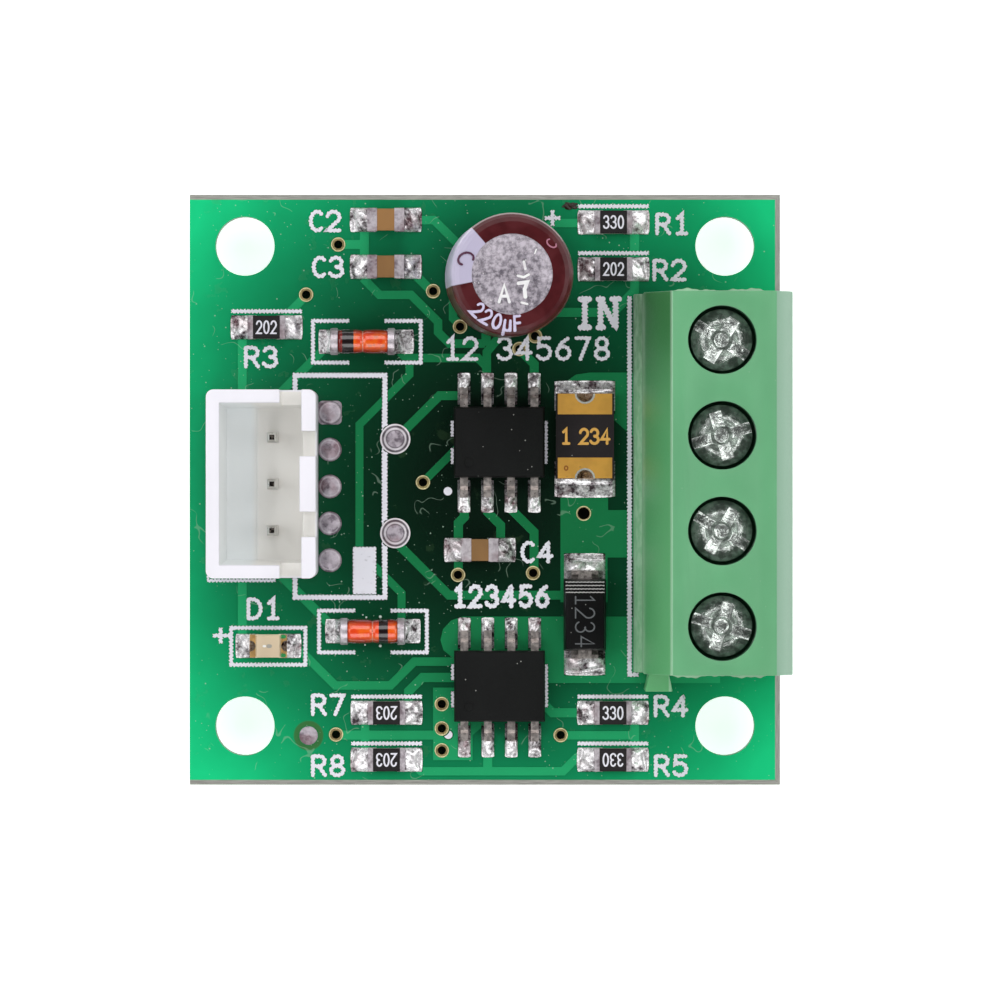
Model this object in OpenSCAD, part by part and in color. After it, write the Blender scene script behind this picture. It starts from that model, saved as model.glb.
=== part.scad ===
// Driver module for a small direct-current motor: one printed board with its parts.
// +X points at the screw terminal, +Y up the board in plan, +Z out of the component side.
// The origin is the centre of the four mounting holes, on the board's underside.

/* [Board] */
// Board length along X
board_len = 32; // [30:0.5:36]
// Board width along Y
board_wid = 32; // [30:0.5:36]
// Board thickness
board_t = 1.6; // [1:0.1:2.4]
// Mounting hole diameter
hole_d = 3.2; // [2.7:0.1:3.6]
// Distance from an edge of the board to the nearest hole centres
hole_margin = 3; // [2.6:0.1:3.4]
// How far the outline sits towards -Y of the holes
outline_drop = 0.2; // [0:0.05:0.4]
// Width of the bevel that a scored edge leaves
score_w = 0.28; // [0.1:0.02:0.4]
// Depth of the bevel that a scored edge leaves
score_d = 0.52; // [0.3:0.02:0.7]

/* [Films and joints] */
// Height of the copper under its mask
track_t = 0.05; // [0.03:0.01:0.07]
// Height of the printed legend
legend_t = 0.03; // [0.02:0.01:0.05]
// Width of a legend line
legend_w = 0.24; // [0.16:0.02:0.32]
// Height of a soldered pad
pad_t = 0.08; // [0.06:0.01:0.12]
// Width of a chip part's pads
pad_w = 1.3; // [1.25:0.05:1.5]
// Length of a chip part's footprint, end to end
pad_len = 3.9; // [3.4:0.05:4.2]
// Bore of a plated via
via_bore = 0.46; // [0.3:0.02:0.6]
// Width of a via's bare ring
via_ring = 0.16; // [0.1:0.02:0.24]
// Thickness of plated copper in a hole
plating = 0.03; // [0.02:0.01:0.05]
// Depth of mask that closes a via below
tent_t = 0.06; // [0.04:0.01:0.1]
// Distance between stacked rows of chip parts
row_pitch = 2.54; // [2.4:0.02:2.8]
// Distance from an edge to the outer row of chip parts
row_inset = 1.38; // [1.2:0.02:1.6]

/* [Chip resistors and capacitors] */
// Length of a chip part
chip_l = 2; // [1.8:0.05:2.2]
// Width of a chip part
chip_w = 1.25; // [1:0.05:1.3]
// Height of a chip resistor
res_t = 0.52; // [0.4:0.02:0.7]
// Height of a chip capacitor
mlc_t = 0.86; // [0.6:0.02:1.2]
// Thickness of an end terminal
end_t = 0.04; // [0.03:0.01:0.06]
// Length of a resistor's end terminal on top
res_end = 0.27; // [0.2:0.01:0.4]
// Length of a capacitor's end terminal
mlc_end = 0.53; // [0.3:0.02:0.6]

/* [Eight-lead chips] */
// Distance between leads
so_pitch = 1.27; // [1.2:0.01:1.35]
// Body length across the lead rows
so_len = 4.92; // [4.7:0.02:5.1]
// Body width between the lead rows
so_wid = 3.86; // [3.7:0.02:4]
// Body height
so_h = 1.4; // [1.2:0.05:1.6]
// Clear height under the body
so_gap = 0.12; // [0.08:0.02:0.2]
// Span over the lead tips
so_span = 6; // [5.8:0.05:6.2]
// Lead width
lead_w = 0.42; // [0.34:0.02:0.5]
// Lead thickness
lead_t = 0.2; // [0.15:0.01:0.25]
// Span over the pads
so_pads = 7.58; // [7:0.02:7.8]
// Slope of the moulded sides in degrees
draft = 7; // [3:1:10]

/* [Fuse, rectifier and diodes] */
// Fuse length
fuse_l = 4.58; // [4.4:0.02:4.9]
// Fuse width
fuse_w = 3.14; // [2.9:0.02:3.4]
// Fuse height
fuse_h = 0.85; // [0.6:0.05:1.2]
// Radius of the half-round notch in each end
notch_r = 0.52; // [0.4:0.02:0.6]
// Length of the fuse's end strips
strip_l = 1.12; // [0.9:0.02:1.3]
// Rectifier body length
rect_l = 3.9; // [3.7:0.05:4.3]
// Rectifier body width
rect_w = 2.3; // [2.2:0.05:2.6]
// Rectifier body height
rect_h = 2.1; // [1.9:0.05:2.3]
// Rectifier lead width
rect_lead = 1.45; // [1.2:0.05:1.6]
// Diode cap diameter
melf_d = 1.45; // [1.35:0.01:1.6]
// Diode length over the caps
melf_l = 3.52; // [3.3:0.02:3.7]
// Length of each diode cap
melf_cap = 0.4; // [0.3:0.02:0.5]
// Outer diameter of the diode's glass
glass_d = 1.34; // [1.2:0.02:1.4]
// Wall of the diode's glass
glass_wall = 0.16; // [0.1:0.01:0.2]
// Thickness of the diode's die
die_t = 0.18; // [0.1:0.02:0.24]

/* [Indicator] */
// Height of the indicator's base
led_base = 0.36; // [0.25:0.01:0.45]
// Length of the indicator's lens
led_lens_l = 1.4; // [1.2:0.02:1.5]
// Height of the indicator's lens
led_lens_h = 0.46; // [0.3:0.02:0.6]
// Radius of the notch in each end of the base
led_notch = 0.3; // [0.2:0.02:0.34]

/* [Plug header] */
// Distance between the header's pins
pin_pitch = 2.5; // [2.4:0.02:2.6]
// Width of a square pin
pin_w = 0.54; // [0.5:0.02:0.7]
// Header length along Y
head_l = 10.1; // [9.6:0.02:10.4]
// Header depth along X
head_d = 5.88; // [5.6:0.02:6.2]
// Header height
head_h = 7; // [6:0.1:8]
// Header wall thickness
head_wall = 0.7; // [0.6:0.02:0.9]
// How far the header's inner walls lean in at the floor
head_lean = 0.24; // [0.1:0.02:0.4]
// Header floor thickness
head_floor = 1.5; // [1.2:0.1:2]
// Distance of the pins from the wall with the slots
pin_front = 2.38; // [2.3:0.02:2.6]
// Height of the pins above the header's floor
pin_up = 4.4; // [4:0.1:4.8]
// Width of a slot in the front wall
slot_w = 1.34; // [1:0.02:1.6]
// Distance of each slot from the middle of the header
slot_off = 2.155; // [2.1:0.005:2.3]
// Depth of the slots and end notches
slot_h = 3.4; // [2.4:0.1:4]
// Width of the notch in each end wall
notch_w = 1.16; // [0.8:0.02:1.4]
// Length of a pin or tail below the board
tail = 1.8; // [1.5:0.1:2.2]

/* [Screw terminal] */
// Distance between poles
pole = 5.08; // [5:0.02:5.2]
// Terminal height
term_h = 10; // [9.6:0.1:11]
// Terminal depth over its vertical walls
term_d = 7.9; // [7.6:0.02:8.2]
// How far the terminal hangs over the board's edge
overhang = 0.4; // [0:0.05:0.8]
// Distance from the first and last screw to the terminal's ends
end_wall = 2.6; // [2.55:0.05:3]
// Distance of the screws from the wire side
screw_in = 3.79; // [3.7:0.01:3.9]
// Width of the foot along the back
foot_w = 0.46; // [0.3:0.02:0.8]
// Height of the foot along the back
foot_h = 1.6; // [1:0.1:2]
// Width of the sloped back shoulder
shoulder_w = 1.42; // [1:0.02:1.6]
// Drop of the sloped back shoulder
shoulder_h = 4.4; // [3:0.1:5]
// Width of the front bevel
bevel_w = 0.9; // [0.4:0.05:1.2]
// Drop of the front bevel
bevel_h = 1.7; // [1:0.1:2.4]
// Diameter of a screw well
well_d = 3.64; // [3.5:0.02:3.8]
// Diameter of a screw head
screw_head_d = 3.28; // [3.1:0.02:3.4]
// Height of a screw head
screw_head_h = 1.3; // [1.1:0.05:1.5]
// Rise of the head's rounded top
screw_dome = 0.46; // [0.3:0.02:0.6]
// Width of the slot across a head
screw_slot = 0.6; // [0.5:0.02:0.7]
// Diameter of the cross recess at its mouth
recess_d = 1.96; // [1.6:0.02:2.2]
// Depth of the head's top below the terminal's top
screw_deep = 1.1; // [0.8:0.05:1.3]
// Diameter of a screw shank
shank_d = 2.9; // [2.7:0.05:3]
// Radial clearance of the shank in the clamp's thread
thread_clear = 0.05; // [0.02:0.01:0.08]
// Radial clearance of the shank in the housing
shank_clear = 0.12; // [0.08:0.01:0.2]
// Thickness of the shelf that holds a screw head
shelf_t = 0.7; // [0.5:0.05:0.9]
// Clamp length along the wire
cage_l = 3.6; // [3.2:0.05:3.8]
// Clamp width
cage_w = 3.9; // [3.7:0.05:4.1]
// Thickness of a clamp's sides
cage_wall = 0.4; // [0.35:0.05:0.5]
// Thickness of a clamp's threaded top
cage_top = 1.05; // [0.9:0.05:1.2]
// Thickness of a clamp's floor
cage_floor = 0.5; // [0.4:0.05:0.6]
// Clearance of a clamp in its chamber
cage_clear = 0.12; // [0.08:0.01:0.18]
// Travel of a clamp
cage_rise = 2.2; // [1.8:0.1:2.2]
// Thickness of a contact bar
bar_t = 0.6; // [0.5:0.05:0.7]
// Width of a contact bar
bar_w = 2.3; // [2:0.05:2.4]
// Width of a contact's solder tail
tail_w = 1.2; // [0.9:0.05:1.3]
// Size of the dovetail rib on one end
rib = 0.94; // [0.7:0.02:1.1]

/* [Electrolytic capacitor] */
// Diameter of the can
can_d = 6.3; // [6:0.05:6.6]
// Height of the can
can_h = 11; // [9:0.5:12]
// Wall of the can
can_wall = 0.25; // [0.2:0.01:0.3]
// Thickness of the sleeve
sleeve_t = 0.12; // [0.08:0.01:0.16]
// Diameter of the bare disc on top
disc_d = 4.3; // [4:0.05:4.6]
// Depth of the crimp round the seal
crimp = 0.24; // [0.14:0.02:0.3]
// Height of the seal
seal_h = 1.5; // [1.3:0.05:1.8]
// Distance between the leads
can_pitch = 2.5; // [2.4:0.1:2.6]
// Lead diameter
can_lead = 0.5; // [0.45:0.05:0.6]
// Height of the can's foot over the board
can_gap = 0.34; // [0.3:0.02:0.5]
// Lean of the can in degrees
lean = 1.9; // [0:0.1:2]

/* [Unused footprint] */
// Bore of a small unused hole
plug_bore = 0.84; // [0.7:0.02:0.9]
// Ring width of a small unused hole
plug_ring = 0.22; // [0.16:0.02:0.3]
// Distance between the small unused holes
plug_pitch = 2; // [1.9:0.02:2.1]
// Bore of a large unused hole
peg_bore = 1.14; // [1:0.02:1.2]
// Ring width of a large unused hole
peg_ring = 0.25; // [0.2:0.01:0.3]
// Height of the solder dome on a filled hole
dome = 0.16; // [0.08:0.01:0.24]

/* [Hidden] */
$fn = 48;
// One hundredth, lets a cutter pass its face
e = 0.01;
// Outline of the board
x0 = -board_len / 2;
x1 = board_len / 2;
y0 = -board_wid / 2 - outline_drop;
y1 = board_wid / 2 - outline_drop;
// Half the distance between mounting holes
span_x = board_len / 2 - hole_margin;
span_y = board_wid / 2 - hole_margin;
// What stands on tracks, and what stands on pads
deck = board_t + track_t;
seat = board_t + pad_t;
// Rows of chip parts along the two edges
top_y = y1 - row_inset;
low_y = y0 + row_inset;
// Chip resistors
res_at = [
    [-11.83, 8.6],
    [6.96, top_y - 0.13],
    [6.96, top_y - 0.13 - row_pitch],
    [6.93, low_y + row_pitch],
    [6.93, low_y],
    [-5.33, low_y + row_pitch],
    [-5.33, low_y]
];
// Chip capacitors
mlc_at = [[-5.37, top_y], [-5.37, top_y - row_pitch], [-0.27, -3.46]];
// Eight-lead chips
so_at = [[0.77, 2.37], [0.79, -10.82]];
// Middles of their pads
so_pads_at = [[0.77, 2.35], [0.77, -10.91]];
// Fuse and rectifier, which lie along Y
fuse_at = [5.41, 2.54];
fuse_shift = 0.17;
rect_at = [5.4, -6.95];
fuse_pads = 6.34;
rect_pads = 6.62;
// Glass diodes: pads, then how far the diode sits from their middle
melf_at = [[-6.43, 7.82], [-6.07, -7.86]];
melf_shift = [-0.18, -0.01];
melf_pads = 5.16;
// Indicator
led_at = [-11.73, -8.66];
led_pads = 3.56;
// Plug header: middle pin
pin_at = [-11.41, 0.11];
pins = [for (i = [-1:1]) [pin_at[0], pin_at[1] + i * pin_pitch]];
head_x1 = pin_at[0] + pin_front;
head_x0 = head_x1 - head_d;
// Unused footprint
plugs = [for (i = [-2:2]) [-8.4, -0.02 + i * plug_pitch]];
pegs = [[-4.86, 2.55], [-4.86, -2.55]];
test_at = [-9.56, -13.52];
// Screw terminal
term_y = 0.15;
term_x1 = x1 + overhang;
term_x0 = term_x1 - term_d;
screw_x = term_x1 - screw_in;
poles = [for (i = [0:3]) term_y + (1.5 - i) * pole];
term_y1 = poles[0] + end_wall;
term_y0 = poles[3] - end_wall;
head_top = deck + term_h - screw_deep;
shelf_z = head_top - screw_head_h;
cage_play = 0.1;
cage_z = deck + cage_play;
cage_h = shelf_z - shelf_t - cage_play - cage_rise - cage_z;
bar_z = cage_z + cage_floor + cage_rise + cage_play;
bar_top = bar_z + bar_t;
well_x0 = screw_x - cage_l / 2 - cage_clear;
well_x1 = screw_x + cage_l / 2 + cage_clear;
tail_t = 0.6;
tail_x = well_x0 - 0.9;
head_turn = [-32, 16, -31, -17];
// Capacitor
can_at = [1.08, 11.3];
lean_to = -13;
// Vias, then the wider one beside the fuse
vias = [
    [-7.95, 13.09], [-9.69, 10.37], [-2.81, 10.56], [-1.35, 8.64], [1.87, 7.43], [2.71, 8.13],
    [-3.36, 0.2], [-1.46, -4.81], [2.61, -4.71], [-8.07, -13.46], [-2.34, -11.81],
    [-2.34, -13.13], [-2.34, -14.32], [4.1, -13.49]
];
wide_via = [5.35, -1.48];
wide_bore = 0.64;
wide_ring = 0.09;
// Width, then corners, of each track
tracks = [
    [0.46, [[-3.63, 14.41], [-2.76, 14.41], [0.11, 11.54]]],
    [0.49, [[-7.96, 13.09], [-6.31, 13.09]]],
    [0.49, [[-6.53, 13.93], [-6.53, 12.35]]],
    [0.46, [[-6.61, 11.27], [-5.71, 10.36], [-4.01, 10.36], [-2.54, 8.9], [-2.54, 8.34], [-1.92, 7.72], [0, 7.72]]],
    [0.5, [[0.06, 9.21], [0.06, 7.6]]],
    [0.46, [[0.82, 8.13], [0.1, 7.26], [0.1, 5.96]]],
    [0.46, [[-4.6, 7.26], [-4.28, 6.94], [-0.38, 6.94], [0.08, 6.48], [0.08, 5.9]]],
    [0.43, [[-4.09, 7.04], [-4.09, 6.04], [-6.8, 3.33], [-6.8, -3.52], [-4.52, -5.8], [-4.52, -7.59]]],
    [0.48, [[-4.77, 2.6], [-2.46, 4.9], [-1.24, 4.9]]],
    [0.43, [[-3.37, 0.2], [-1.46, 2.11]]],
    [0.48, [[-4.93, -2.93], [-1.95, -5.91], [4.39, -5.91]]],
    [0.5, [[-1.12, -1.08], [-1.12, -1.68], [-1.44, -2], [-1.44, -3.09]]],
    [0.48, [[0.14, -1.19], [0.14, -1.41], [0.85, -2.12], [0.85, -3.09]]],
    [0.48, [[1.41, -1.03], [1.41, -1.25], [2.66, -2.49], [2.66, -4.63]]],
    [0.48, [[-1.44, -3.85], [-1.44, -4.8]]],
    [0.46, [[-10.83, 9.17], [-9.65, 10.35]]],
    [0.48, [[-13.15, 8.13], [-13.15, -8.13]]],
    [0.46, [[-8.83, 7.31], [-11.39, 4.75], [-11.39, 2.56]]],
    [0.5, [[-11.39, -2.4], [-11.39, -4.5], [-8.4, -7.49]]],
    [0.46, [[-10.02, -8.89], [-8.11, -10.8], [-5.12, -10.8], [-3.83, -9.51], [-1.46, -9.51]]],
    [0.5, [[-4.14, -11.7], [-4.14, -11.12], [-3.38, -10.37], [-1.46, -10.37]]],
    [0.46, [[-6.49, -12.79], [-6.49, -14.3]]],
    [0.49, [[-8.04, -13.49], [-2.65, -13.49]]],
    [0.46, [[-3.95, -14.97], [-3.46, -15.45], [4.23, -15.45], [4.99, -14.69], [5.48, -14.69]]],
    [0.49, [[0.15, -14.41], [0.15, -15.4]]],
    [0.5, [[2.98, -11.61], [3.66, -12.28], [5.48, -12.28]]],
    [0.46, [[4.1, -13.5], [8.34, -13.5]]],
    [0.48, [[8.11, -12.79], [8.11, -14.3]]],
    [0.46, [[2.68, 11.38], [2.68, 13.27], [3.66, 14.25], [5.48, 14.25]]],
    [0.51, [[8.1, 13.87], [8.1, 12.14]]],
    [0.49, [[8.1, 11.38], [8.1, 10.57], [6.95, 9.41], [3.63, 9.41], [2.71, 8.49], [2.71, 8.13]]],
    [0.49, [[1.84, 7.43], [2.67, 6.61], [2.67, 5.96]]],
    [0.46, [[-1.73, 11.38], [-1.73, 9.1], [-1.35, 8.72]]],
    [0.49, [[-4.06, 11.73], [-2.87, 10.54]]]
];
// Outlines of the copper areas
pours = [
    [[-2.81, -10.92], [0.82, -10.92], [0.82, -12.25], [-0.67, -13.49], [-0.67, -14.85], [-2.81, -14.85]],
    [
        [-1.24, -7.07], [12.74, -7.07], [12.74, -10.67], [2.98, -10.67], [2.98, -9.27],
        [-1.79, -9.27], [-2.25, -8.89], [-2.41, -8.34], [-2.27, -7.75], [-1.84, -7.29]
    ],
    [
        [4.07, 5.09], [4.39, 5.66], [4.93, 6.04], [5.69, 6.15], [11.65, 6.15],
        [11.65, 2.49], [7.97, 2.71], [6.99, 3.58], [6.23, 3.58]
    ],
    [
        [4.09, -0.11], [6.67, -0.11], [6.67, -1.3], [11.65, -1.3],
        [11.65, -3.87], [6.64, -3.87], [6.64, -6.29], [4.09, -6.29]
    ]
];

// Left-hand normal of the step from a to b
function normal(a, b) = [a[1] - b[1], b[0] - a[0]] / norm(b - a);
// Mitred corner of a path at distance h on its left
function corner(p, i, h) =
    let (n = len(p) - 1, a = normal(p[max(i - 1, 0)], p[max(i, 1)]), b = normal(p[min(i, n - 1)], p[min(i + 1, n)]))
    p[i] + h * (a + b) / (1 + a * b);
// Outline of a path drawn with half-width h
function stroke(p, h) = concat(
    [for (i = [0:len(p) - 1]) corner(p, i, h)],
    [for (i = [len(p) - 1:-1:0]) corner(p, i, -h)]
);

// Profile in X and Z, run along Y
module along_y(w) {
    rotate([90, 0, 0]) linear_extrude(w, center = true) children();
}

// Profile in Y and Z, run along X
module along_x(w) {
    rotate([90, 0, 90]) linear_extrude(w, center = true) children();
}

module box(lx, ly, lz) {
    translate([-lx / 2, -ly / 2, 0]) cube([lx, ly, lz]);
}

module plate(p, q) {
    translate([min(p[0], q[0]), min(p[1], q[1])]) square([abs(q[0] - p[0]), abs(q[1] - p[1])]);
}

module rounded(lx, ly, r) {
    square([lx - 2 * r, ly], center = true);
    square([lx, ly - 2 * r], center = true);
    for (u = [-1, 1], v = [-1, 1]) translate([u * (lx / 2 - r), v * (ly / 2 - r)]) circle(r);
}

// Block whose sides lean in by the draft above and below its widest height
module moulding(l, w, h, mid) {
    up = (h - mid) * tan(draft);
    dn = mid * tan(draft);
    intersection() {
        along_y(w + 1) polygon([
            [-l / 2 + dn, 0], [l / 2 - dn, 0], [l / 2, mid],
            [l / 2 - up, h], [up - l / 2, h], [-l / 2, mid]
        ]);
        along_x(l + 1) polygon([
            [-w / 2 + dn, 0], [w / 2 - dn, 0], [w / 2, mid],
            [w / 2 - up, h], [up - w / 2, h], [-w / 2, mid]
        ]);
    }
}

// Board

module hole_spots() {
    for (u = [-1, 1], v = [-1, 1]) translate([u * span_x, v * span_y]) children();
}

module board_edge(inset) {
    plate([x0 + inset, y0 + inset], [x1 - inset, y1 - inset]);
}

module board() {
    color("green") difference() {
        intersection() {
            translate([0, (y0 + y1) / 2, 0]) along_y(board_wid) polygon([
                [x0, 0], [x1 - score_w, 0], [x1, score_d],
                [x1, board_t - score_d], [x1 - score_w, board_t], [x0, board_t]
            ]);
            along_x(board_len + 1) polygon([
                [y0 + score_w, 0], [y1 - score_w, 0], [y1, score_d], [y1, board_t - score_d],
                [y1 - score_w, board_t], [y0 + score_w, board_t], [y0, board_t - score_d], [y0, score_d]
            ]);
        }
        hole_spots() translate([0, 0, -e]) cylinder(d = hole_d, h = board_t + 2 * e);
        for (p = vias) translate([p[0], p[1], tent_t]) cylinder(d = via_bore + 2 * plating, h = board_t);
        translate([wide_via[0], wide_via[1], tent_t]) cylinder(d = wide_bore + 2 * plating, h = board_t);
        for (p = plugs) translate([p[0], p[1], -e]) cylinder(d = plug_bore, h = board_t + 2 * e);
        for (p = pegs) translate([p[0], p[1], -e]) cylinder(d = peg_bore, h = board_t + 2 * e);
        translate([test_at[0], test_at[1], -e]) cylinder(d = plug_bore - 0.2, h = board_t + 2 * e);
        for (p = pins) translate([p[0], p[1], -e]) cylinder(r = pin_hole(), h = board_t + 2 * e);
        for (y = poles) translate([tail_x + tail_t / 2, y, -e]) cylinder(r = tail_hole(), h = board_t + 2 * e);
        for (s = [-1, 1]) lead_spot(s) translate([0, 0, -e]) cylinder(r = lead_hole(), h = board_t + 2 * e);
    }
}

// Radii of the soldered holes
function pin_hole() = pin_w / sqrt(2) + 0.05;
function tail_hole() = norm([tail_w, tail_t]) / 2 + 0.06;
function lead_hole() = can_lead / 2 + 0.2;

module lead_spot(s) {
    translate([can_at[0] + s * can_pitch / 2, can_at[1], 0]) children();
}

module pads_2d() {
    for (p = concat(res_at, mlc_at)) translate(p) end_pads(pad_len, pad_w, chip_l / 2 - 0.45);
    for (p = so_pads_at) translate(p) so_pads_2d();
    translate(fuse_at) rotate(90) end_pads(fuse_pads, fuse_w + 0.14, fuse_l / 2 - strip_l + 0.2);
    translate(rect_at) rotate(90) end_pads(rect_pads, rect_lead + 0.78, rect_l / 2 - 0.7);
    for (p = melf_at) translate(p) end_pads(melf_pads, pad_w, melf_l / 2 - 0.5);
    translate(led_at) end_pads(led_pads, pad_w, chip_l / 2 - 0.45);
}

module end_pads(l, w, inner) {
    for (s = [-1, 1]) plate([s * inner, -w / 2], [s * l / 2, w / 2]);
}

module so_pads_2d() {
    for (i = [-1.5:1.5], s = [-1, 1]) translate([i * so_pitch, 0])
        plate([-lead_w / 2 - 0.13, s * (so_wid / 2 + 0.12)], [lead_w / 2 + 0.13, s * so_pads / 2]);
}

module plugs_2d(grow = 0) {
    for (p = [for (i = [0:3]) plugs[i]]) translate(p) circle(d = plug_bore + 2 * plug_ring + 2 * grow);
    translate(plugs[4]) rounded(plug_bore + 2 * plug_ring + 2 * grow, plug_bore + 2 * plug_ring + 2 * grow, 0.25);
    for (p = pegs) translate(p) circle(d = peg_bore + 2 * peg_ring + 2 * grow);
    translate(test_at) circle(d = 1 + 2 * grow);
}

module rings_2d() {
    for (p = vias) translate(p) circle(d = via_bore + 2 * via_ring);
    translate(wide_via) circle(d = wide_bore + 2 * wide_ring);
}

module legend_2d() {
    w = legend_w / 2;
    for (p = res_at) translate([p[0], p[1] + pad_w / 2 + w + 0.1]) square([pad_len, legend_w], center = true);
    frame_2d([-10.29, 6], [-5.42, -6.03], 0.3);
    plate([-7.17, -3.28], [-5.88, -5.87]);
    for (p = [[[-6.4, 7.82], 2.12], [[-6.07, -7.88], 2.12]]) translate(p[0]) for (s = [-1, 1]) scale([s, 1]) {
        plate([3.04 - legend_w, -1.25], [3.04, 1.25]);
        for (t = [-1, 1]) plate([3.04 - p[1], t * 1.25], [3.04, t * (1.25 - legend_w)]);
    }
    frame_2d([-13.75, -7.68], [-9.73, -9.68], legend_w);
    plus_2d([-14.32, -8.1]);
    plus_2d([3.66, 14.52]);
    for (p = so_at, v = [-0.74, 0.74]) translate([p[0] - so_len / 2 - 0.08, p[1] + v])
        square([0.2, 0.92], center = true);
    for (p = so_at) translate([p[0] + so_len / 2 + 0.08, p[1]]) square([0.2, 2.38], center = true);
    for (p = so_at) translate([p[0] - 2.78, p[1] - 2.65]) circle(0.29);
    plate([term_x0 - foot_w - 0.35, term_y0 - 0.28], [term_x0 - foot_w - 0.07, term_y1 - 0.06]);
    plate([term_x0 - foot_w - 0.35, term_y0 - 0.28], [term_x0 - foot_w + 0.32, term_y0 - 0.02]);
    plate([head_x0 - 0.16, pin_at[1] - head_l / 2 - 0.28], [pin_at[0] + 0.1, pin_at[1] - head_l / 2 - 0.08]);
    plate([head_x0 - 0.16, pin_at[1] - head_l / 2 - 0.28], [head_x0 - 0.04, pin_at[1] - head_l / 2 + 1.1]);
}

module frame_2d(p, q, w) {
    difference() {
        plate([p[0] - w / 2, p[1] + w / 2], [q[0] + w / 2, q[1] - w / 2]);
        plate([p[0] + w / 2, p[1] - w / 2], [q[0] - w / 2, q[1] + w / 2]);
    }
}

module plus_2d(p) {
    translate(p) square([0.92, legend_w], center = true);
    translate(p) square([legend_w, 0.92], center = true);
}

module copper_2d() {
    for (t = tracks) polygon(stroke(t[1], t[0] / 2));
    for (p = pours) polygon(p);
}

module bare_2d() {
    pads_2d();
    rings_2d();
    plugs_2d();
    for (p = pins) translate(p) circle(pin_hole());
    for (y = poles) translate([tail_x + tail_t / 2, y]) circle(tail_hole());
    for (s = [-1, 1]) lead_spot(s) circle(lead_hole());
    hole_spots() circle(d = hole_d + 0.6);
}

module legend() {
    color("white") translate([0, 0, board_t]) linear_extrude(legend_t) difference() {
        intersection() {
            legend_2d();
            board_edge(score_w);
        }
        bare_2d();
    }
}

module top_tracks() {
    color("seagreen") translate([0, 0, board_t]) linear_extrude(track_t) difference() {
        intersection() {
            copper_2d();
            board_edge(score_w + 0.1);
        }
        bare_2d();
        legend_2d();
    }
}

module via_eyelets() {
    color("khaki") {
        for (p = vias) translate(p) eyelet(via_bore / 2, via_ring);
        translate(wide_via) eyelet(wide_bore / 2, wide_ring);
    }
}

module eyelet(r, ring) {
    rotate_extrude() polygon([
        [r, tent_t], [r + plating, tent_t], [r + plating, board_t],
        [r + ring, board_t], [r + ring, board_t + track_t], [r, board_t + track_t]
    ]);
}

// Solder on an end pad: a pad from x_in to x_out, and a fillet that falls from the part's end
module end_joint(x_in, x_end, x_out, w, rise) {
    translate([x_in, -w / 2, board_t]) cube([x_out - x_in, w, pad_t]);
    translate([0, 0, seat]) along_y(w - 0.08) polygon(concat(
        [[x_end, 0]],
        [for (a = [0:15:90]) [x_end + (x_out - 0.04 - x_end) * sin(a), rise * (0.55 * cos(a) + 0.45 * (1 - sin(a)))]]
    ));
}

module both_ends() {
    children();
    mirror([1, 0, 0]) children();
}

module smd_solder() {
    color("silver") {
        for (p = res_at) translate(p) both_ends()
            end_joint(chip_l / 2 - 0.45, chip_l / 2, pad_len / 2, pad_w, res_t * 0.8);
        for (p = mlc_at) translate(p) both_ends()
            end_joint(chip_l / 2 - 0.45, chip_l / 2, pad_len / 2, pad_w, mlc_t * 0.7);
        translate(led_at) both_ends()
            end_joint(chip_l / 2 - 0.45, chip_l / 2, led_pads / 2, pad_w, led_base * 0.9);
        for (i = [0, 1], s = [-1, 1]) translate(melf_at[i]) scale([s, 1, 1])
            end_joint(melf_l / 2 - 0.5, melf_l / 2 + s * melf_shift[i], melf_pads / 2, pad_w, melf_d * 0.66);
        for (s = [-1, 1]) translate(fuse_at) rotate(90) scale([s, 1, 1]) difference() {
            end_joint(fuse_l / 2 - strip_l + 0.2, fuse_l / 2 + s * fuse_shift, fuse_pads / 2,
                fuse_w + 0.14, fuse_h * 0.5);
            translate([fuse_l / 2 + s * fuse_shift, 0, seat]) cylinder(r = notch_r, h = 1);
        }
        for (s = [-1, 1]) translate([fuse_at[0], fuse_at[1] + fuse_shift + s * fuse_l / 2, board_t])
            cylinder(r1 = notch_r, r2 = notch_r * 0.5, h = pad_t + fuse_h * 0.7);
        translate(rect_at) rotate(90) both_ends()
            end_joint(rect_l / 2 - 0.7, rect_out(), rect_pads / 2, rect_lead + 0.78, rect_h * 0.3);
        for (k = [0, 1], i = [-1.5:1.5], s = [-1, 1]) translate(so_pads_at[k]) translate([i * so_pitch, 0, 0])
            rotate(s * 90) end_joint(so_wid / 2 + 0.12, so_span / 2 + s * (so_at[k][1] - so_pads_at[k][1]),
                so_pads / 2, lead_w + 0.26, lead_t * 0.9);
    }
}

// Soldered hole: barrel, pad and cone below the board
module hole_joint(r) {
    rotate_extrude() polygon([
        [0, board_t], [r, board_t], [r, 0], [r + 0.4, 0], [r + 0.4, -0.05], [r + 0.24, -0.16],
        [r + 0.02, -0.44], [r - 0.1, -0.78], [r - 0.16, -1.05], [0, -1.05]
    ]);
}

module pin_solder() {
    color("silver") {
        for (p = pins) translate(p) difference() {
            hole_joint(pin_hole());
            translate([0, 0, -tail - 1]) box(pin_w, pin_w, board_t + tail + 2);
        }
        for (y = poles) translate([tail_x + tail_t / 2, y, 0]) difference() {
            hole_joint(tail_hole());
            translate([0, 0, -tail - 1]) box(tail_t, tail_w, board_t + tail + 2);
        }
        for (s = [-1, 1]) difference() {
            lead_spot(s) hole_joint(lead_hole());
            tilted() translate([s * can_pitch / 2, 0, -9]) cylinder(d = can_lead, h = 12, $fn = 24);
        }
    }
}

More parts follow.
